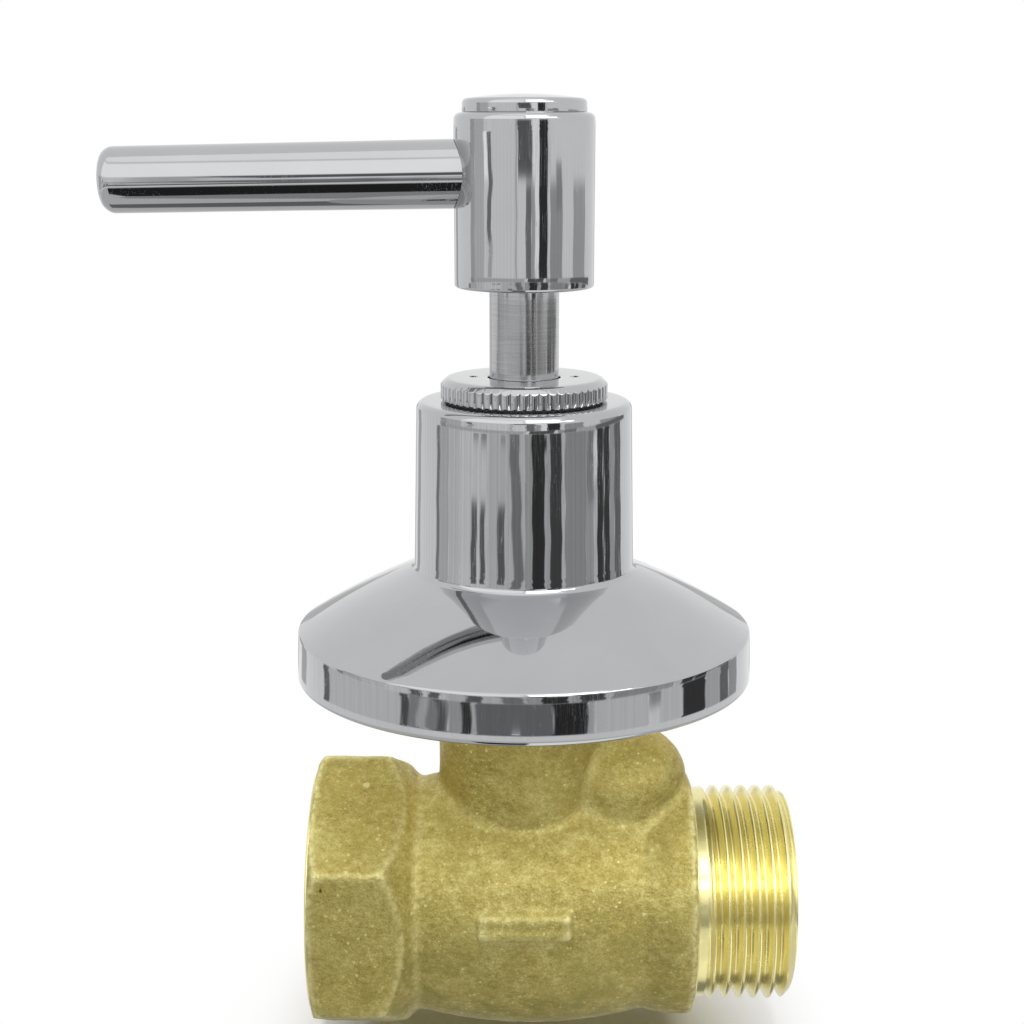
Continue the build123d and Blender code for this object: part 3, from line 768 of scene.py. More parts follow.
def turned(
    name: str,
    outline: Sequence[Point],
    place: Matrix,
    segments: int = 256,
    reshape: Reshape | None = None,
    sharp: float = 35.0,
) -> bpy.types.Object:
    """Turns a closed outline about an axis.

    Args:
        name: Name of the piece.
        outline: Radius and height pairs in millimetres; those at radius 0 lie on the axis.
        place: Takes the axis, along local Z, to its place in metres.
        segments: Divisions round the axis.
        reshape: Gives the radii round a ring from its radius, height and the angles.
        sharp: Smallest angle of an edge that stays sharp, in degrees.

    Returns:
        The new piece.
    """
    angles = np.linspace(0, 2 * math.pi, segments, endpoint=False)
    vertices: list[np.ndarray] = []
    rings: list[list[int]] = []
    count = 0
    for radius, height in outline:
        if radius < 1e-6:
            vertices.append(np.array([[0.0, 0.0, height]]))
            rings.append([count] * segments)
            count += 1
            continue
        radii = reshape(radius, height, angles) if reshape else radius
        vertices.append(around(radii, height, angles))
        rings.append(list(range(count, count + segments)))
        count += segments
    faces: list[tuple[int, ...]] = []
    for index, ring in enumerate(rings):
        above = rings[(index + 1) % len(rings)]
        if ring[0] == ring[1] and above[0] == above[1]:
            continue
        for step in range(segments):
            ahead = (step + 1) % segments
            corners = (ring[step], ring[ahead], above[ahead], above[step])
            faces.append(tuple(dict.fromkeys(corners)))
    mesh = bpy.data.meshes.new(name)
    scaled = np.concatenate(vertices) * MM
    mesh.from_pydata([tuple(row) for row in scaled], [], faces)
    mesh.transform(place)
    return finished(name, mesh, sharp)


def screwed(
    name: str,
    rest: Sequence[Point],
    first: float,
    last: float,
    pitch: float,
    radii_at: Callable[[np.ndarray, np.ndarray], np.ndarray],
    place: Matrix,
    segments: int = 288,
    rows_per_turn: int = 16,
    sharp: float = 40.0,
) -> bpy.types.Object:
    """Turns a closed outline whose first stretch carries a screw thread.

    The rows of the thread rise with the helix, so that crests and roots run smoothly.

    Args:
        name: Name of the piece.
        rest: Radius and height pairs from the thread's last height round to its first.
        first: Height where the thread starts.
        last: Height where it ends.
        pitch: Rise in one turn.
        radii_at: Gives the radii at some heights and angles.
        place: Takes the axis, along local Z, to its place in metres.
        segments: Divisions round the axis.
        rows_per_turn: Rows across one pitch.
        sharp: Smallest angle of an edge that stays sharp, in degrees.

    Returns:
        The new piece.
    """
    angles = np.linspace(0, 2 * math.pi, segments, endpoint=False)
    step = pitch / rows_per_turn
    rows = math.ceil((last - first + pitch) / step) + 1
    vertices: list[np.ndarray] = []
    for row in range(rows):
        heights = np.clip(first - pitch + row * step + pitch * angles / (2 * math.pi), first, last)
        vertices.append(around(radii_at(heights, angles), heights, angles))
    vertices += [around(radius, height, angles) for radius, height in rest]
    count = len(vertices)
    faces: list[tuple[int, ...]] = []
    for row in range(count):
        above = (row + 1) % count
        for division in range(segments - 1):
            near = row * segments + division
            far = above * segments + division
            faces.append((near, near + 1, far + 1, far))
        threaded = row < rows - 1
        wrapped = min(row + rows_per_turn, rows - 1) if threaded else row
        wrapped_above = min(row + 1 + rows_per_turn, rows - 1) if threaded else above
        ends = (row * segments + segments - 1, wrapped * segments)
        faces.append((*ends, wrapped_above * segments, above * segments + segments - 1))
    work = bmesh.new()
    made = [work.verts.new(corner) for corner in np.concatenate(vertices)]
    for face in faces:
        work.faces.new([made[index] for index in dict.fromkeys(face)])
    bmesh.ops.remove_doubles(work, verts=work.verts, dist=NEAR)
    bmesh.ops.dissolve_degenerate(work, edges=work.edges, dist=NEAR)
    mesh = bpy.data.meshes.new(name)
    work.to_mesh(mesh)
    work.free()
    mesh.transform(place @ Matrix.Scale(MM, 4))
    return finished(name, mesh, sharp)


def bowed(start: Point, end: Point, bulge: float, steps: int) -> list[Corner]:
    """Points of a shallow arc between two corners, without its ends.

    Args:
        start: First corner.
        end: Last corner.
        bulge: Rise of the arc's middle, to the right of its direction where positive.
        steps: Number of runs.

    Returns:
        Plain corners.
    """
    along = Vector(end) - Vector(start)
    side = Vector((along.y, -along.x)).normalized()
    shares = [step / steps for step in range(1, steps)]
    places = [Vector(start) + along * share + side * (4 * bulge * share * (1 - share)) for share in shares]
    return [Corner(place.x, place.y) for place in places]


def linked(name: str, data: bpy.types.ID) -> bpy.types.Object:
    """Adds an object to the scene.

    Args:
        name: Its name.
        data: Its mesh, lamp or camera.

    Returns:
        The object.
    """
    made = bpy.data.objects.new(name, data)
    bpy.context.scene.collection.objects.link(made)
    return made


def finished(name: str, mesh: bpy.types.Mesh, sharp: float) -> bpy.types.Object:
    """Turns the faces outwards, shades them and links the piece.

    Args:
        name: Name of the piece.
        mesh: Its mesh.
        sharp: Smallest angle of an edge that stays sharp, in degrees.

    Returns:
        The piece.
    """
    work = bmesh.new()
    work.from_mesh(mesh)
    bmesh.ops.recalc_face_normals(work, faces=work.faces)
    work.to_mesh(mesh)
    work.free()
    mesh.shade_smooth()
    mesh.set_sharp_from_angle(angle=math.radians(sharp))
    return linked(name, mesh)


def fetched(items: bpy.types.bpy_prop_collection, name: str, size: int, kind: type = float) -> np.ndarray:
    """Reads one property of all points or edges.

    Args:
        items: The points or edges.
        name: Name of the property.
        size: Numbers in each.
        kind: Type of the numbers.

    Returns:
        A row for each.
    """
    values = np.empty(len(items) * size, dtype=kind)
    items.foreach_get(name, values)
    return values.reshape(-1, size)


def store(mesh: bpy.types.Mesh, name: str, values: np.ndarray) -> None:
    """Keeps a value in each point of a mesh for its material to read."""
    layer = mesh.attributes.new(name, "FLOAT", "POINT")
    layer.data.foreach_set("value", values.astype(np.float32))


def modified(piece: bpy.types.Object, kind: str, **settings: object) -> bpy.types.Mesh:
    """Works out one modifier on an object.

    Args:
        piece: The object, which is left as it was.
        kind: Type of the modifier.
        settings: Its properties.

    Returns:
        The new mesh.
    """
    modifier = piece.modifiers.new(kind, kind)
    for key, value in settings.items():
        setattr(modifier, key, value)
    depsgraph = bpy.context.evaluated_depsgraph_get()
    result = bpy.data.meshes.new_from_object(piece.evaluated_get(depsgraph))
    piece.modifiers.clear()
    return result


def cut(piece: bpy.types.Object, tool: bpy.types.Object, sharp: float = 30.0) -> None:
    """Cuts a tool's shape out of a piece and deletes the tool.

    Args:
        piece: Piece that is cut.
        tool: Closed shape that is taken away.
        sharp: Smallest angle of an edge that stays sharp, in degrees.
    """
    piece.data = modified(piece, "BOOLEAN", operation="DIFFERENCE", solver="EXACT", object=tool)
    bpy.data.objects.remove(tool)
    piece.data.shade_smooth()
    piece.data.set_sharp_from_angle(angle=math.radians(sharp))


def spindle_place() -> Matrix:
    """Axis of the spindle, with heights above the flow axis."""
    return Matrix.Translation((AXIS_X * MM, 0, 0))


def flow_place() -> Matrix:
    """Flow axis, with local Z along +X."""
    return Matrix.Rotation(math.radians(90), 4, "Y")


# The valve's own pieces


@dataclass(frozen=True)
class PipeThread:
    """Parallel pipe thread with rounded crests and roots, in millimetres."""

    pitch: float = 1.814
    depth: float = 1.162
    major: float = 13.22
    start: float = 0.21
    table_size: int = 96

    def form(self, phase: np.ndarray) -> np.ndarray:
        """Height of the thread over one pitch.

        Args:
            phase: Place along the pitch, any number.

        Returns:
            0 at the root to 1 at the crest.
        """
        place = np.linspace(0, 1, self.table_size, endpoint=False)
        flank = np.clip((1 - np.abs(2 * place - 1)) * 1.5 - 0.25, 0, 1)
        width = self.table_size // 12
        kernel = np.ones(width) / width
        eased = np.convolve(np.tile(flank, 3), kernel, "same")[self.table_size : 2 * self.table_size]
        wrapped = np.mod(phase, 1.0)
        return np.interp(wrapped, np.append(place, 1.0), np.append(eased, eased[0]))

    def height(self, along: np.ndarray, angles: np.ndarray) -> np.ndarray:
        """Height of the right-handed thread, 0 to 1, at places along the axis and round it."""
        return self.form(along / self.pitch - angles / (2 * math.pi) + self.start)


@dataclass(frozen=True)
class OutletEnd:
    """Male thread, its plain band, bore and the collar's turned face."""

    thread: PipeThread = PipeThread()
    face: float = 47.1
    face_radius: float = 14.25
    root: float = 45.6
    band_end: float = 48.3
    band_radius: float = 13.02
    end: float = 59.1
    chamfer: float = 1.0
    bore: float = 9.55
    bore_chamfer: float = 0.4
    broken_edge: float = 0.1
    run_in: float = 0.9

    def build(self, workshop: Workshop) -> bpy.types.Object:
        """Builds the threaded end.

        Args:
            workshop: Finishes.

        Returns:
            The piece.
        """
        broken = self.broken_edge
        rest: list[Point] = [
            (self.bore + self.bore_chamfer, self.end),
            (self.bore, self.end - self.bore_chamfer),
            (self.bore, self.root),
            (self.face_radius, self.root),
            (self.face_radius, self.face - broken),
            (self.face_radius - broken, self.face),
            (self.band_radius, self.face),
            (self.band_radius, self.band_end - broken),
        ]
        pitch = self.thread.pitch
        piece = screwed("outlet_thread", rest, self.band_end, self.end, pitch, self.radii, flow_place())
        return workshop.dress(piece, Slot.MACHINED_BRASS, Body.FIXED)

    def radii(self, heights: np.ndarray, angles: np.ndarray) -> np.ndarray:
        """Radii of the male thread.

        Args:
            heights: Distances along the flow axis.
            angles: Angles round it.

        Returns:
            The radii.
        """
        thread = self.thread
        run = np.clip((heights - self.band_end) / self.run_in, 0, 1)
        top = self.band_radius + (thread.major - self.band_radius) * run
        cut_to = top - thread.depth * (1 - thread.height(heights, angles)) * run
        blank = thread.major - np.maximum(0, heights - (self.end - self.chamfer))
        return np.minimum(cut_to, blank)


@dataclass(frozen=True)
class InletEnd:
    """Female thread with its turned mouth."""

    thread: PipeThread = PipeThread()
    minor: float = 12.06
    face_radius: float = 15.4
    face_thickness: float = 0.8
    wall: float = 13.65
    depth: float = 11.4
    chamfer: float = 1.25
    run_out: float = 1.4
    plain_depth: float = 0.4
    broken_edge: float = 0.15

    def build(self, workshop: Workshop) -> bpy.types.Object:
        """Builds the threaded mouth.

        Args:
            workshop: Finishes.

        Returns:
            The piece.
        """
        rest: list[Point] = [
            (self.wall, self.depth),
            (self.wall, self.face_thickness),
            (self.face_radius, self.face_thickness),
            (self.face_radius, self.broken_edge),
            (self.face_radius - self.broken_edge, 0.0),
        ]
        pitch = self.thread.pitch
        piece = screwed("inlet_thread", rest, 0.0, self.depth, pitch, self.radii, flow_place())
        return workshop.dress(piece, Slot.MACHINED_BRASS, Body.FIXED)

    def radii(self, heights: np.ndarray, angles: np.ndarray) -> np.ndarray:
        """Radii of the female thread.

        Args:
            heights: Distances along the flow axis.
            angles: Angles round it.

        Returns:
            The radii.
        """
        thread = self.thread
        run = np.clip((self.depth - heights - self.plain_depth) / self.run_out, 0, 1)
        cut_to = self.minor + thread.depth * thread.height(heights, angles) * run
        return np.maximum(cut_to, self.minor + np.maximum(0, self.chamfer - heights))


@dataclass(frozen=True)
class CastBody:
    """Cast brass body: the solid's own shape with the softness and skin of a casting."""

    voxel: float = 0.42
    mouth: float = 0.35
    collar_face: float = 46.95
    bore: float = 12.06
    opened_bore: float = 13.4
    bore_depth: float = 11.05
    top: float = 26.0
    # Rise in millimetres, features per millimetre and start of each noise
    unevenness: tuple[tuple[float, float, Triple], ...] = (
        (0.08, 0.17, (3.1, 7.7, 1.3)),
        (0.07, 0.62, (11.2, 2.4, 5.9)),
    )
    bar_x: float = 26.1
    bar_half_length: float = 5.5
    bar_half_height: float = 1.3
    bar_angle: float = 9.0
    bar_fade: float = 0.3
    # Place and width in half heights of the bar, and rise in millimetres, of each ridge
    bar_ridges: tuple[Triple, ...] = ((-0.72, 0.22, 0.17), (0.55, 0.3, 0.11))
    belly: float = 16.1
    # Bend at which each mask starts, and what it takes to the full mask: edges for rubbed metal with a
    # painted highlight, creases for a painted highlight
    edge_bend: Point = (0.010, 0.025)
    crease_highlight_bend: Point = (0.006, 0.02)
    rounds: int = 5
    near: float = 0.001
    bore_slack: float = 0.03

    def build(self, workshop: Workshop) -> bpy.types.Object:
        """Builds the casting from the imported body.

        Args:
            workshop: Finishes.

        Returns:
            The piece.
        """
        blank = self.blank(bpy.data.objects["valve_body"].data)
        mesh = self.remeshed(blank)
        self.shape_skin(mesh)
        mesh.shade_smooth()
        piece = linked("cast_body", mesh)
        return workshop.dress(piece, Slot.CAST_BRASS, Body.FIXED, "valve_body")

    def blank(self, source: bpy.types.Mesh) -> bpy.types.Mesh:
        """Copies the body, opens its inlet bore and takes off its male end and mouth.

        Args:
            source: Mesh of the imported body.

        Returns:
            A closed mesh.
        """
        work = bmesh.new()
        work.from_mesh(source)
        bmesh.ops.remove_doubles(work, verts=work.verts, dist=self.near * MM)
        for vertex in work.verts:
            radius = math.hypot(vertex.co.y, vertex.co.z)
            on_bore = abs(radius - self.bore * MM) < self.bore_slack * MM
            if on_bore and vertex.co.x < self.bore_depth * MM:
                vertex.co.y *= self.opened_bore * MM / radius
                vertex.co.z *= self.opened_bore * MM / radius
        for place, normal in ((self.collar_face, 1), (self.mouth, -1)):
            everything = work.verts[:] + work.edges[:] + work.faces[:]
            made = bmesh.ops.bisect_plane(
                work,
                geom=everything,
                plane_co=(place * MM, 0, 0),
                plane_no=(normal, 0, 0),
                clear_outer=True,
            )
            rim = [item for item in made["geom_cut"] if isinstance(item, bmesh.types.BMEdge)]
            bmesh.ops.triangle_fill(work, edges=rim, use_beauty=True, normal=(normal, 0, 0))
        bmesh.ops.recalc_face_normals(work, faces=work.faces)
        mesh = bpy.data.meshes.new("cast_blank")
        work.to_mesh(mesh)
        work.free()
        return mesh

    def remeshed(self, blank: bpy.types.Mesh) -> bpy.types.Mesh:
        """Rebuilds the blank as even small quads.

        Args:
            blank: Closed mesh.

        Returns:
            The even mesh.
        """
        holder = linked("cast_blank", blank)
        mesh = modified(holder, "REMESH", mode="VOXEL", voxel_size=self.voxel * MM)
        bpy.data.objects.remove(holder)
        bpy.data.meshes.remove(blank)
        mesh.name = "cast_body"
        return mesh

    def shape_skin(self, mesh: bpy.types.Mesh) -> None:
        """Moves the points to the casting's uneven skin and stores the masks of its edges, for rubbed metal
        with a painted highlight, and of its creases, for a painted highlight.

        Args:
            mesh: Even mesh of the body.
        """
        places = fetched(mesh.vertices, "co", 3) / MM
        normals = fetched(mesh.vertex_normals, "vector", 3)
        bend = self.curvature(places, normals, fetched(mesh.edges, "vertices", 2, np.int64))
        # Masks for rubbed edges with a painted highlight, and for the painted highlight in creases
        wear_and_highlight_masks = {"edge": (bend, self.edge_bend), "crease_highlight": (-bend, self.crease_highlight_bend)}
        for name, (signed, (start, width)) in wear_and_highlight_masks.items():
            store(mesh, name, np.clip((signed - start) / width, 0, 1))
        rise = self.bar_relief(places) + self.skin_relief(places)
        places += normals * rise[:, None]
        places[:, 0] = np.clip(places[:, 0], self.mouth - 0.05, self.collar_face + 0.08)
        places[:, 2] = np.minimum(places[:, 2], self.top)
        mesh.vertices.foreach_set("co", (places * MM).ravel())
        mesh.update()

    def curvature(self, places: np.ndarray, normals: np.ndarray, pairs: np.ndarray) -> np.ndarray:
        """Bend of the surface, averaged over about a millimetre.

        Args:
            places: Points in millimetres.
            normals: Their normals.
            pairs: Edges.

        Returns:
            Positive on edges, negative in hollows.
        """
        degree = np.maximum(np.bincount(pairs.ravel(), minlength=len(places)), 1)
        bend = -np.einsum("ij,ij->i", self.averaged(places, pairs, degree) - places, normals)
        for _ in range(self.rounds):
            bend = 0.5 * bend + 0.5 * self.averaged(bend[:, None], pairs, degree)[:, 0]
        return bend

    def averaged(self, values: np.ndarray, pairs: np.ndarray, degree: np.ndarray) -> np.ndarray:
        """Average of each point's neighbours.

        Args:
            values: A row of values per point.
            pairs: Edges.
            degree: Neighbours of each point.

        Returns:
            The averages.
        """
        total = np.zeros_like(values)
        for near, far in (pairs.T, pairs.T[::-1]):
            for column in range(values.shape[1]):
                total[:, column] += np.bincount(near, weights=values[far, column], minlength=len(values))
        return total / degree[:, None]

    def skin_relief(self, places: np.ndarray) -> np.ndarray:
        """Unevenness of the casting.

        Args:
            places: Points in millimetres.

        Returns:
            Rise of each point in millimetres.
        """
        rise = np.zeros(len(places))
        for height, scale, offset in self.unevenness:
            start = Vector(offset)
            rise += height * np.array([noise.noise(Vector(row) * scale + start) for row in places])
        return rise

    def bar_relief(self, places: np.ndarray) -> np.ndarray:
        """Raised bar on the front of the belly, with a ridge along its lower edge.

        Args:
            places: Points in millimetres.

        Returns:
            Rise of each point in millimetres.
        """
        angle = np.degrees(np.arctan2(places[:, 2], -places[:, 1])) - self.bar_angle
        across = np.radians(angle) * self.belly / self.bar_half_height
        along = np.abs(places[:, 0] - self.bar_x) - self.bar_half_length
        front = (places[:, 1] < 0) & (np.hypot(places[:, 1], places[:, 2]) > self.belly - 1)
        ends = np.clip(-along / self.bar_fade, 0, 1)
        ridges = sum(rise * np.exp(-(((across - at) / width) ** 2)) for at, width, rise in self.bar_ridges)
        return np.where(front, ends * ridges, 0.0)


@dataclass(frozen=True)
class Bell:
    """Chromed wall bell."""

    base: float = 29.4
    rim_radius: float = 27.7
    rim_top_radius: float = 27.5
    rim_top: float = 35.25
    rim_wall: float = 1.5
    skirt_top_radius: float = 13.3
    skirt_top: float = 42.7
    skirt_bulge: float = 0.4
    top_radius: float = 12.85
    top: float = 63.05
    wall: float = 1.4
    web: float = 1.6
    hole: float = 7.85

    def build(self, workshop: Workshop) -> bpy.types.Object:
        """Builds the bell as one thin shell.

        Args:
            workshop: Finishes.

        Returns:
            The piece.
        """
        slope = math.atan2(self.skirt_top - self.rim_top, self.rim_top_radius - self.skirt_top_radius)
        drop = self.wall / math.cos(slope)
        inner = self.top_radius - self.wall
        rise = math.tan(slope)
        inner_high = (inner, self.skirt_top - drop + (self.skirt_top_radius - inner) * rise)
        inner_low = (self.rim_top_radius - self.rim_wall, self.rim_top - drop + self.rim_wall * rise)
        outer_low = (self.rim_top_radius, self.rim_top)
        outer_high = (self.skirt_top_radius, self.skirt_top)
        outline = rounded(
            [
                Corner(self.rim_radius - self.rim_wall, self.base, 0.3),
                Corner(self.rim_radius, self.base, 0.5),
                Corner(*outer_low, 0.5),
                *bowed(outer_low, outer_high, self.skirt_bulge, 12),
                Corner(*outer_high, 0.8),
                Corner(self.top_radius, self.top, 0.9),
                Corner(self.hole, self.top, 0.2),
                Corner(self.hole, self.top - self.web),
                Corner(inner, self.top - self.web, 0.4),
                Corner(*inner_high, 0.8),
                *bowed(inner_high, inner_low, -self.skirt_bulge, 12),
                Corner(*inner_low, 0.5),
            ]
        )
        piece = turned("wall_bell", spread(outline, 1.2), spindle_place(), 320)
        return workshop.dress(piece, Slot.CHROME, Body.FIXED, "escutcheon_bell")


@dataclass(frozen=True)
class KnurledRing:
    """Chromed ring with a straight knurl, two spanner holes and a threaded skirt."""

    bottom: float = 63.27
    radius: float = 9.95
    knurl_top: float = 64.97
    top: float = 65.82
    top_radius: float = 8.9
    teeth: int = 56
    tooth_depth: float = 0.2
    hole: float = 4.34
    web: float = 1.45
    skirt_radius: float = 7.4
    skirt_bore: float = 6.4
    skirt_length: float = 6.6
    spanner_offset: float = 6.0
    spanner_radius: float = 0.5
    spanner_depth: float = 1.0

    def build(self, workshop: Workshop) -> bpy.types.Object:
        """Builds the ring and drills its spanner holes.

        Args:
            workshop: Finishes.

        Returns:
            The piece.
        """
        corners = rounded(
            [
                Corner(self.skirt_bore, self.bottom - self.skirt_length),
                Corner(self.skirt_radius, self.bottom - self.skirt_length, 0.3),
                Corner(self.skirt_radius, self.bottom),
                Corner(self.radius - 0.15, self.bottom),
                Corner(self.radius, self.bottom + 0.15),
                Corner(self.radius, self.knurl_top + 0.1, 0.4),
                Corner(self.top_radius + 0.3, self.top, 0.9),
                Corner(self.hole, self.top, 0.15),
                Corner(self.hole, self.top - self.web),
                Corner(self.skirt_bore, self.top - self.web),
            ],
            5,
        )
        piece = turned("knurled_ring", spread(corners, 0.9), spindle_place(), self.teeth * 12, self.knurl, 60)
        for side in (-1, 1):
            place = spindle_place() @ Matrix.Translation((side * self.spanner_offset * MM, 0, 0))
            hole = [
                (0, self.top - self.spanner_depth),
                (self.spanner_radius, self.top - self.spanner_depth),
                (self.spanner_radius, self.top - 0.12),
                (self.spanner_radius + 0.2, self.top + 0.1),
                (0, self.top + 0.1),
            ]
            cut(piece, turned("spanner_hole", hole, place, 32))
        return workshop.dress(piece, Slot.CHROME, Body.FIXED, "knurled_ring_nut")

    def knurl(self, radius: float, height: float, angles: np.ndarray) -> np.ndarray:
        """Cuts the knurl's grooves.

        Args:
            radius: Radius of the blank.
            height: Height above the flow axis.
            angles: Angles round it.

        Returns:
            Radii after cutting.
        """
        floor = self.radius - self.tooth_depth
        if radius <= floor or height < self.bottom:
            return np.full(len(angles), radius)
        tooth = np.sqrt(np.abs(np.cos(angles * self.teeth / 2)))
        return np.minimum(radius, floor + self.tooth_depth * tooth)


@dataclass(frozen=True)
class Stem:
    """Chromed spindle extension."""

    socket_bottom: float = 49.6
    socket_top: float = 58.7
    socket_radius: float = 6.0
    socket_bore: float = 3.65
    socket_depth: float = 7.28
    radius: float = 4.12
    top: float = 76.92
    spline_radius: float = 3.8
    spline_top: float = 86.12

    def build(self, workshop: Workshop) -> bpy.types.Object:
        """Builds the stem.

        Args:
            workshop: Finishes.

        Returns:
            The piece.
        """
        outline = rounded(
            [
                Corner(0, self.socket_bottom + self.socket_depth),
                Corner(self.socket_bore, self.socket_bottom + self.socket_depth),
                Corner(self.socket_bore, self.socket_bottom),
                Corner(self.socket_radius, self.socket_bottom, 0.5),
                Corner(self.socket_radius, self.socket_top, 0.5),
                Corner(self.radius, self.socket_top, 0.3),
                Corner(self.radius, self.top, 0.3),
                Corner(self.spline_radius - 0.2, self.top),
                Corner(self.spline_radius - 0.2, self.spline_top, 0.3),
                Corner(2.0, self.spline_top),
                Corner(2.0, self.spline_top - 8.0),
                Corner(0, self.spline_top - 8.6),
            ]
        )
        piece = turned("stem", spread(outline, 1.5), spindle_place(), 192)
        return workshop.dress(piece, Slot.TURNED_CHROME, Body.HANDLE, "spindle_extension")


@dataclass(frozen=True)
class Handle:
    """Handle barrel, lever and cap."""

    bottom: float = 76.42
    top: float = 96.47
    radius: float = 8.2
    insert_radius: float = 5.65
    insert_top: float = 86.12
    cavity_radius: float = 6.75
    cavity_floor: float = 92.67
    screw_hole: float = 2.05
    lever_height: float = 89.62
    lever_droop: float = 0.96
    lever_seat: float = 7.0
    lever_root_radius: float = 4.0
    lever_tip_radius: float = 3.83
    lever_reach: float = 49.3
    stud_radius: float = 2.4
    stud_length: float = 3.6
    cap_radius: float = 7.24
    cap_head: float = 1.5
    cap_dome: float = 0.6
    plug_radius: float = 6.45
    plug_length: float = 2.6
    plug_wall: float = 1.3
    plug_floor: float = 0.38
    # Radius of the O-ring groove's floor, and its edges below the barrel's top
    groove: Triple = (5.68, 0.85, 1.88)
    seat_gap: float = 0.1
    stud_gap: float = 0.05

    def lever_place(self) -> Matrix:
        """Lever's axis, with local Z running out to the tip."""
        start = Matrix.Translation((AXIS_X * MM, 0, self.lever_height * MM))
        return start @ Matrix.Rotation(math.radians(-90 - self.lever_droop), 4, "Y")

    def build(self, workshop: Workshop) -> list[bpy.types.Object]:
        """Builds the barrel, lever and cap."""
        return [self.barrel(workshop), self.lever(workshop), self.cap(workshop)]

    def barrel(self, workshop: Workshop) -> bpy.types.Object:
        """Builds the barrel and bores the lever's seat.

        Args:
            workshop: Finishes.

        Returns:
            The piece.
        """
        outline = rounded(
            [
                Corner(self.insert_radius, self.bottom, 0.2),
                Corner(self.radius, self.bottom, 0.4),
                Corner(self.radius, self.top, 0.8),
                Corner(self.cavity_radius, self.top, 0.12),
                Corner(self.cavity_radius, self.cavity_floor),
                Corner(self.screw_hole, self.cavity_floor),
                Corner(self.screw_hole, self.insert_top),
                Corner(self.insert_radius, self.insert_top),
            ]
        )
        piece = turned("barrel", spread(outline, 1.5), spindle_place(), 288)
        seat = rod(self.lever_root_radius + self.seat_gap, self.lever_seat, self.radius + 3)
        cut(piece, turned("seat_tool", seat, self.lever_place(), 96))
        floor = self.lever_seat - self.stud_length - self.stud_gap
        stud = rod(self.stud_radius + self.stud_gap, floor, self.lever_seat + 1)
        cut(piece, turned("stud_tool", stud, self.lever_place(), 64))
        return workshop.dress(piece, Slot.CHROME, Body.HANDLE, "handle_hub")

    def lever(self, workshop: Workshop) -> bpy.types.Object:
        """Builds the lever with its domed tip and hidden stud.

        Args:
            workshop: Finishes.

        Returns:
            The piece.
        """
        outline = rounded(
            [
                Corner(0, self.lever_seat - self.stud_length),
                Corner(self.stud_radius, self.lever_seat - self.stud_length),
                Corner(self.stud_radius, self.lever_seat),
                Corner(self.lever_root_radius, self.lever_seat),
                Corner(self.lever_tip_radius, self.lever_reach - 0.3, 1.6),
                Corner(0, self.lever_reach),
            ],
            12,
        )
        piece = turned("lever", spread(outline, 2.0), self.lever_place(), 192)
        return workshop.dress(piece, Slot.CHROME, Body.HANDLE, "lever_rod")

    def cap(self, workshop: Workshop) -> bpy.types.Object:
        """Builds the domed cap and its plug.

        Args:
            workshop: Finishes.

        Returns:
            The piece.
        """
        head = self.top + self.cap_head
        dome = [
            (self.cap_radius * share, head + self.cap_dome * (1 - share**2))
            for share in (0.9, 0.8, 0.7, 0.6, 0.5, 0.4, 0.3, 0.2, 0.1)
        ]
        rim = rounded(
            [
                Corner(self.plug_radius, self.top),
                Corner(self.cap_radius, self.top, 0.08),
                Corner(self.cap_radius, head + 0.03, 0.6),
                Corner(self.cap_radius * 0.9, head + self.cap_dome * 0.19),
            ]
        )
        depth, above, below = self.groove
        bore = self.plug_radius - self.plug_wall
        under = [
            (0, head + self.cap_dome),
            (0, self.top + self.plug_floor),
            (bore, self.top + self.plug_floor),
            (bore, self.top - self.plug_length),
            (self.plug_radius, self.top - self.plug_length),
            (self.plug_radius, self.top - below),
            (depth, self.top - below),
            (depth, self.top - above),
            (self.plug_radius, self.top - above),
        ]
        outline = rim[:-1] + dome + under
        piece = turned("cap", outline, spindle_place(), 256)
        return workshop.dress(piece, Slot.CHROME, Body.HANDLE, "handle_cap")


class Innards:
    """The frame's own solids that stay as they are and only get their finish."""

    PLAIN = {
        "headwork_gasket": Slot.FIBRE,
        "headwork": Slot.MACHINED_BRASS,
        "packing_washer": Slot.MACHINED_BRASS,
        "packing_ring": Slot.PACKING,
        "gland_nut": Slot.MACHINED_BRASS,
        "spindle": Slot.MACHINED_BRASS,
        "jumper": Slot.MACHINED_BRASS,
        "seat_washer": Slot.RUBBER,
        "washer_nut": Slot.MACHINED_BRASS,
        "extension_sleeve": Slot.MACHINED_BRASS,
        "ring_washer": Slot.FIBRE,
        "stem_bush": Slot.NYLON,
        "extension_grub_screw": Slot.STEEL,
        "spline_insert": Slot.NYLON,
        "handle_screw_washer": Slot.STEEL,
        "handle_screw": Slot.STEEL,
        "cap_o_ring": Slot.RUBBER,
    }

    def dress(self, workshop: Workshop, nodes: dict[str, bpy.types.Object]) -> None:
        """Gives each kept solid its finish.

        Args:
            workshop: Finishes.
            nodes: The frame's objects by name.
        """
        for name, slot in self.PLAIN.items():
            material = workshop.finish(slot, upright=True)
            for holder in nodes[name].material_slots:
                holder.material = material
            log.info("%s keeps its solid", name)


# Studio


class Zone(Enum):
    """Elevations of the surround that one upright face mirrors, in degrees."""

    HUB = (-4.0, 9.0)
    HUB_LOW = (-4.0, 0.3)
    STEM = (-6.0, -4.0)
    BELL = (-14.1, -6.0)
    BELL_LOW = (-14.1, -9.5)
    RIM = (-18.0, -14.1)
    UPRIGHT = (-18.0, 3.0)


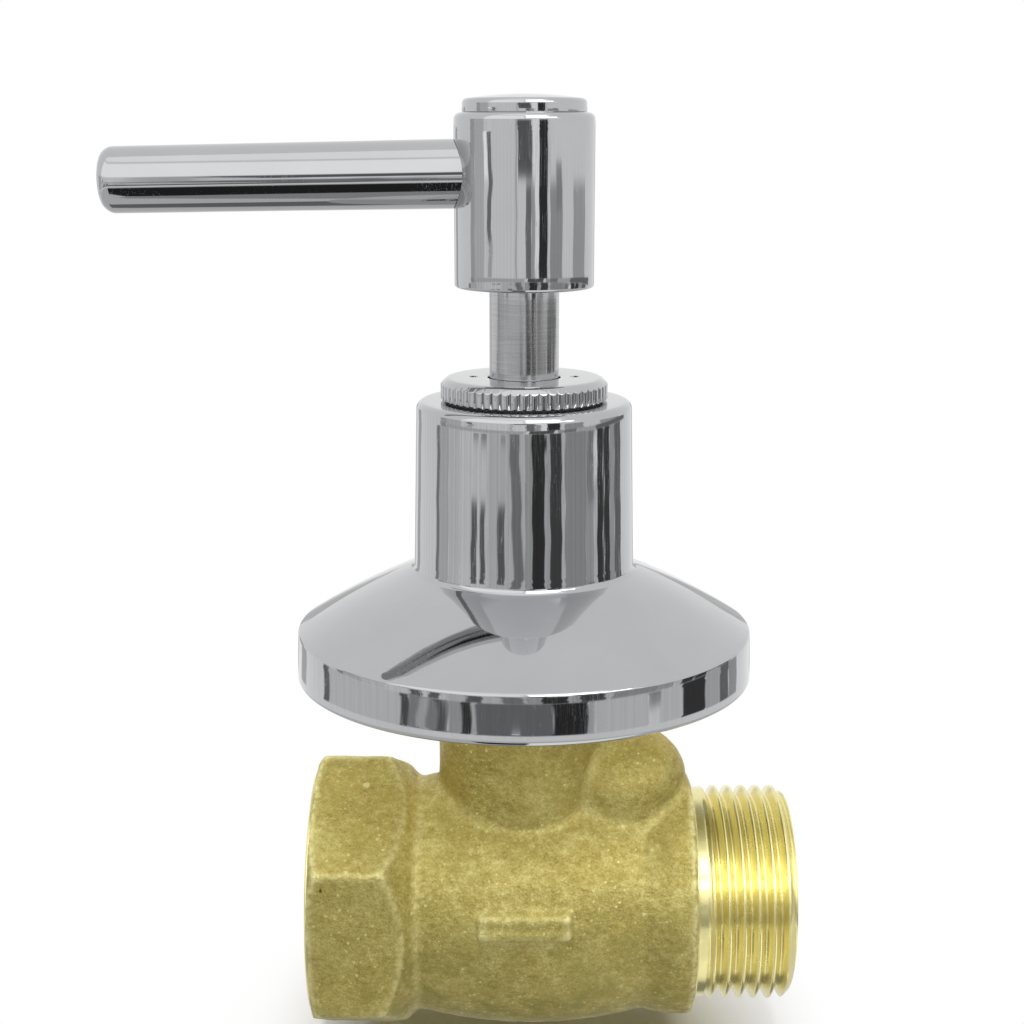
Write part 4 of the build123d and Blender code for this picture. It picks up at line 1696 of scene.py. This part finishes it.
@dataclass(frozen=True)
class Patch:
    """Light or dark patch of the surround, by its angles in degrees from the camera's side."""

    left: float
    right: float
    low: float
    high: float
    level: float
    soft: float = 0.9
    sway: float = 0.5
    lean: float = 0.0

    def cover(self, azimuth: np.ndarray, elevation: np.ndarray) -> np.ndarray:
        """How far the patch covers some directions.

        Args:
            azimuth: Angles round the valve.
            elevation: Angles above the horizon.

        Returns:
            0 outside to 1 inside.
        """
        sway = self.sway * np.sin(elevation * 2.3 + self.left) + 0.5 * self.sway * np.sin(elevation * 5.1)
        rise = np.clip((elevation - self.low) / (self.high - self.low), 0, 1)
        across = azimuth - sway - self.lean * rise
        sides = self.eased((across - self.left) / self.soft) * self.eased((self.right - across) / self.soft)
        edge = 0.35 * self.soft
        return sides * self.eased((elevation - self.low) / edge) * self.eased((self.high - elevation) / edge)

    def eased(self, share: np.ndarray) -> np.ndarray:
        """Smooth step about 0."""
        step = np.clip(share + 0.5, 0, 1)
        return step * step * (3 - 2 * step)


def bands(zone: Zone, *rows: tuple[float, float, float]) -> tuple[Patch, ...]:
    """Upright bands of one zone.

    Args:
        zone: Zone that they fill.
        rows: Left and right azimuth and level of each.

    Returns:
        Their patches.
    """
    return tuple(Patch(left, right, *zone.value, level) for left, right, level in rows)


@dataclass(frozen=True)
class Surround:
    """Dome that only mirrored rays see: a white room with the panels and gaps of a light tent."""

    reach: float = 1.2
    plain: float = 1.0
    across_step: float = 0.5
    fine_step: float = 0.3
    coarse_step: float = 2.0
    fine_low: float = -24
    fine_high: float = 7
    streaks: tuple[int, ...] = (61, 97, 149, 211)
    streak_depth: float = 0.05
    streak_phase: float = 1.7
    streak_middle: float = -7
    streak_reach: float = 16
    patches: tuple[Patch, ...] = (
        Patch(-200, 200, -90, -22, 0.72, 3),
        Patch(-70, -1, 11, 54, 1.45, 5),
        Patch(-26, 1.5, -56, -24, 0.025, 2, 0),
        Patch(-32, 1.5, -84, -57, 0.38, 2, 0),
        Patch(100, 200, -90, -62, 0.2, 3),
        Patch(-200, -100, -90, -62, 0.2, 3),
        Patch(2.5, 60, 54, 84, 1.9, 3),
        Patch(-75, 75, 60, 90, 1.35, 4),
        Patch(2.5, 44, 37, 56, 3.8, 5, 0),
        Patch(2.5, 60, 31, 35, 0.7, 1.2, 0),
        Patch(2.5, 56, 24, 30, 8.0, 1.2, 0),
        Patch(2.5, 60, 10, 22.5, 1.2, 2, 0),
        Patch(2.5, 60, -90, -24, 1.3, 2, 0),
        *bands(
            Zone.HUB,
            (-98, -88, 0.56),
            (-88, -69, 0.7),
            (-69, -62, 0.95),
            (-54, -15, 0.96),
            (-15, -12, 0.65),
            (13, 23, 1.25),
            (23.5, 37.5, 0.05),
            (37.5, 41, 0.9),
        ),
        Patch(-62, -54.5, -2.0, 2.5, 0.25, 1.0, 1.6),
        Patch(-62, -54.5, -3.8, -2.0, 0.62, 1.0, 1.6),
        Patch(-69, -62, 0.4, 2.7, 1.4, 1.0, 1.2),
        Patch(-10, 12.5, 0.5, 9.0, 0.16, 0.9, 0.4, -3),
        *bands(Zone.HUB_LOW, (2, 11, 0.25), (11, 17, 0.55), (42, 64, 0.47), (86, 116, 0.55)),
        Patch(52, 62, -0.8, 1.0, 0.38),
        *bands(
            Zone.STEM,
            (-98, -89, 0.45),
            (-89, 0, 0.62),
            (5, 31, 0.13),
            (35, 42, 0.5),
            (42, 56, 0.3),
            (56, 80, 0.62),
            (80, 130, 0.22),
        ),
        *bands(
            Zone.BELL,
            (-104, -99, 0.3),
            (-99, -85, 0.66),
            (-85, -70, 0.78),
            (-70, -38, 0.88),
            (-38, 2, 0.72),
            (1, 8, 0.5),
            (8, 21, 0.05),
            (21, 26.5, 0.58),
            (26.5, 39, 0.085),
            (39, 42.5, 0.72),
            (42.5, 67, 0.41),
            (67, 77, 0.5),
            (77, 81.5, 0.75),
            (81.5, 90, 0.07),
            (90, 92, 0.2),
            (92, 100.5, 0.075),
            (100.5, 109, 0.52),
            (109, 121, 0.21),
        ),
        Patch(-9, 1, *Zone.BELL.value, 0.27, 1.4, 0.7, -7),
        Patch(7, 23, -7.4, -6.7, 0.05, 0.8, 0.0),
        Patch(68.5, 76.5, -9.8, -6.6, 0.33, 1.5, 1.0),
        Patch(77.3, 81.5, -9.0, -7.3, 1.2, 1.5),
        *bands(Zone.BELL_LOW, (-56.4, -50, 0.17), (-46.3, -41, 0.17), (-27.5, -20, 0.17)),
        Patch(-54, -48, -7.15, -6.7, 0.25),
        Patch(-46, -40, -7.2, -6.65, 0.2),
        Patch(-24, -19, -7.1, -6.8, 0.3),
        *bands(
            Zone.RIM,
            (-117, -111.5, 0.2),
            (-111.5, -62, 0.8),
            (-62, -57.3, 0.12),
            (-57.3, -36.7, 0.33),
            (-36.7, -30.2, 0.5),
            (-30.2, -25.2, 0.05),
            (-25.2, -23, 0.65),
            (-23, 13.6, 0.21),
            (13.6, 30.5, 0.035),
            (30.5, 33.8, 0.6),
            (33.8, 62, 0.8),
            (69, 83, 0.8),
            (83, 99.8, 0.06),
            (99.8, 112.6, 0.6),
            (112.6, 121.4, 0.2),
            (121.4, 131.5, 0.45),
        ),
        Patch(62, 69, -16.0, -14.3, 0.4),
        Patch(-52, -47, -17.6, -14.5, 0.6, 1.5, 1.2),
        Patch(-43, -39, -17.6, -14.5, 0.15, 1.5, 1.2),
        Patch(-6, -2, -16.9, -16.5, 1.6, 0.8),
        *bands(Zone.UPRIGHT, (160, 168, 0.6), (-168, -160, 0.6), (-150, -140, 0.55)),
    )

    def build(self, target: Vector) -> None:
        """Builds the dome.

        Args:
            target: Point that the angles are counted from.
        """
        azimuth = np.arange(-180, 180, self.across_step)
        elevation = np.concatenate(
            [
                np.arange(-88, self.fine_low, self.coarse_step),
                np.arange(self.fine_low, self.fine_high, self.fine_step),
                np.arange(self.fine_high + 1, 89, self.coarse_step),
            ]
        )
        across, above = np.meshgrid(np.radians(azimuth), np.radians(elevation))
        flat = np.cos(above)
        dome = np.stack([np.sin(across) * flat, -np.cos(across) * flat, np.sin(above)], axis=-1)
        poles = np.array([[0.0, 0.0, -1.0], [0.0, 0.0, 1.0]])
        places = np.concatenate([dome.reshape(-1, 3), poles]) * self.reach + np.array(target)
        columns, rows = len(azimuth), len(elevation)
        faces: list[tuple[int, ...]] = []
        for column in range(columns):
            beside = (column + 1) % columns
            for below in range(0, (rows - 1) * columns, columns):
                higher = below + columns
                faces.append((below + column, below + beside, higher + beside, higher + column))
            top = (rows - 1) * columns
            faces.append((beside, column, rows * columns))
            faces.append((top + column, top + beside, rows * columns + 1))
        mesh = bpy.data.meshes.new("surround")
        mesh.from_pydata([tuple(row) for row in places], [], faces)
        level = self.levels(*np.meshgrid(azimuth, elevation)).ravel()
        store(mesh, "level", np.append(level, (level[0], self.plain)))
        self.hang(mesh)

    def levels(self, azimuth: np.ndarray, elevation: np.ndarray) -> np.ndarray:
        """Light that comes from each direction.

        Args:
            azimuth: Angles round the valve, -180 to 180.
            elevation: Angles above the horizon.

        Returns:
            The levels, 1 for white.
        """
        level = np.full(azimuth.shape, self.plain)
        for patch in self.patches:
            level += (patch.level - level) * patch.cover(azimuth, elevation)
        turn = np.radians(azimuth)
        streaks = sum(np.sin(turn * count + count * self.streak_phase) for count in self.streaks)
        near = np.clip(1 - np.abs(elevation - self.streak_middle) / self.streak_reach, 0, 1)
        return level * (1 + self.streak_depth * streaks * near)

    def hang(self, mesh: bpy.types.Mesh) -> None:
        """Gives the dome its light and hides it from all but mirrored rays.

        Args:
            mesh: Mesh of the dome with its levels.
        """
        recipe = Recipe("surround")
        light = {"Color": WHITE, "Strength": recipe.attribute("level")}
        mesh.materials.append(recipe.shown(recipe.node("ShaderNodeEmission", light)))
        recipe.material.cycles.emission_sampling = "NONE"
        dome = linked("surround", mesh)
        dome.visible_camera = False
        dome.visible_diffuse = False
        dome.visible_shadow = False
        dome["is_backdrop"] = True


@dataclass(frozen=True)
class Softbox:
    """Area lamp aimed at the valve, by its angles from the camera's side."""

    name: str
    azimuth: float
    elevation: float
    distance: float
    width: float
    height: float
    radiance: float


@dataclass(frozen=True)
class Studio:
    """Floor, surround, lamps and camera."""

    floor: float = -18.2
    floor_half: float = 6.0
    floor_shade: float = 0.93
    floor_return: float = 0.5
    shadow_span: Point = (18.0, 40.0)
    target: Triple = (0.0261, 0.0, 0.045)
    soft_light: float = 0.22
    camera_place: Triple = (0.0261 - 0.00144, -0.204, 0.0949)
    camera_tilt: float = 77.4
    lens: float = 60.7
    sensor: float = 36.0
    nearest: float = 0.01
    boxes: tuple[Softbox, ...] = (
        Softbox("key", -14, 76, 0.75, 0.36, 0.28, 9.0),
        Softbox("top", 20, 84, 0.80, 0.40, 0.34, 5.6),
        Softbox("back", 165, 48, 0.90, 0.60, 0.40, 1.4),
    )

    def build(self) -> None:
        """Builds the whole set."""
        self.make_world()
        self.make_floor()
        Surround().build(Vector(self.target))
        for box in self.boxes:
            self.make_lamp(box)
        self.make_camera()

    def direction(self, azimuth: float, elevation: float) -> Vector:
        """Direction from the valve.

        Args:
            azimuth: Angle in degrees from the camera's side towards +X.
            elevation: Angle above the horizon.

        Returns:
            The unit vector.
        """
        flat = math.cos(math.radians(elevation))
        across = math.radians(azimuth)
        return Vector((math.sin(across) * flat, -math.cos(across) * flat, math.sin(math.radians(elevation))))

    def make_world(self) -> None:
        """White surround for what is seen directly or mirrored, softer light for the rest."""
        world = bpy.data.worlds.new("surround")
        bpy.context.scene.world = world
        world.use_nodes = True
        tree = world.node_tree
        tree.nodes.clear()
        output = tree.nodes.new("ShaderNodeOutputWorld")
        mixer = tree.nodes.new("ShaderNodeMixShader")
        tree.links.new(self.seen_rays(tree), mixer.inputs[0])
        for socket, strength in zip(mixer.inputs[1:], (self.soft_light, 1.0)):
            light = tree.nodes.new("ShaderNodeBackground")
            light.inputs["Color"].default_value = (*WHITE, 1.0)
            light.inputs["Strength"].default_value = strength
            tree.links.new(light.outputs[0], socket)
        tree.links.new(mixer.outputs[0], output.inputs["Surface"])

    def seen_rays(self, tree: bpy.types.NodeTree) -> Socket:
        """1 for camera, glossy and transmission rays.

        Args:
            tree: Node tree that needs it.

        Returns:
            The socket.
        """
        path = tree.nodes.new("ShaderNodeLightPath")
        seen = path.outputs["Is Camera Ray"]
        for kind in ("Is Glossy Ray", "Is Transmission Ray"):
            either = tree.nodes.new("ShaderNodeMath")
            either.operation = "MAXIMUM"
            tree.links.new(seen, either.inputs[0])
            tree.links.new(path.outputs[kind], either.inputs[1])
            seen = either.outputs[0]
        return seen

    def make_floor(self) -> None:
        """Pale floor that keeps the soft shadow near the valve and turns white further out."""
        mesh = bpy.data.meshes.new("floor")
        signs = ((-1, -1), (1, -1), (1, 1), (-1, 1))
        corners = [(x * self.floor_half, y * self.floor_half, self.floor * MM) for x, y in signs]
        mesh.from_pydata(corners, [], [(0, 1, 2, 3)])
        floor = linked("floor", mesh)
        recipe = Recipe("floor")
        ends = {0: recipe.millimetres, 1: (AXIS_X, 0.0, self.floor)}
        away = recipe.node("ShaderNodeVectorMath", ends, operation="DISTANCE").outputs["Value"]
        seen = self.seen_rays(recipe.tree)
        share = recipe.times(recipe.span(away, *self.shadow_span), seen)
        tint = recipe.blend(seen, (self.floor_return,) * 3, (self.floor_shade,) * 3)
        paper = recipe.node("ShaderNodeBsdfDiffuse", {"Color": tint})
        white = recipe.node("ShaderNodeEmission", {"Color": WHITE, "Strength": 1.0})
        mixed = {0: share, 1: paper.outputs[0], 2: white.outputs[0]}
        mesh.materials.append(recipe.shown(recipe.node("ShaderNodeMixShader", mixed)))
        floor.visible_glossy = False
        floor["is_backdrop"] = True

    def make_lamp(self, box: Softbox) -> None:
        """One soft area lamp.

        Args:
            box: Its place, size and radiance.
        """
        lamp = bpy.data.lights.new(box.name, "AREA")
        lamp.shape = "RECTANGLE"
        lamp.size = box.width
        lamp.size_y = box.height
        lamp.energy = box.radiance * math.pi * box.width * box.height
        holder = linked(box.name, lamp)
        holder.visible_glossy = False
        away = self.direction(box.azimuth, box.elevation)
        holder.location = Vector(self.target) + away * box.distance
        holder.rotation_euler = away.to_track_quat("Z", "Y").to_euler()

    def make_camera(self) -> None:
        """Camera at the photograph's place."""
        camera = bpy.data.cameras.new("camera")
        camera.lens = self.lens
        camera.sensor_width = self.sensor
        camera.clip_start = self.nearest
        holder = linked("camera", camera)
        holder.location = self.camera_place
        holder.rotation_euler = (math.radians(self.camera_tilt), 0.0, 0.0)
        bpy.context.scene.camera = holder


def plain_box(corners: tuple[Vector, Vector]) -> list[list[float]]:
    """Box as plain lists."""
    return [[float(value) for value in corner] for corner in corners]


def main(frame: dict, packed_box: list[list[float]]) -> None:
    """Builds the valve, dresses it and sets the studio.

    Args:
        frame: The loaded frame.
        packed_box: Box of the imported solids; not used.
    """
    workshop = Workshop()
    for maker in (CastBody(), OutletEnd(), InletEnd(), Bell(), KnurledRing(), Stem(), Handle()):
        maker.build(workshop)
        log.info("built %s", type(maker).__name__)
    Innards().dress(workshop, frame["nodes"])
    Studio().build()
    bpy.context.scene.view_settings.view_transform = "Standard"


if __name__ == "__main__":
    logging.basicConfig(level=logging.INFO, format="%(message)s")
    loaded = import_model()
    main(loaded, plain_box(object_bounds()))
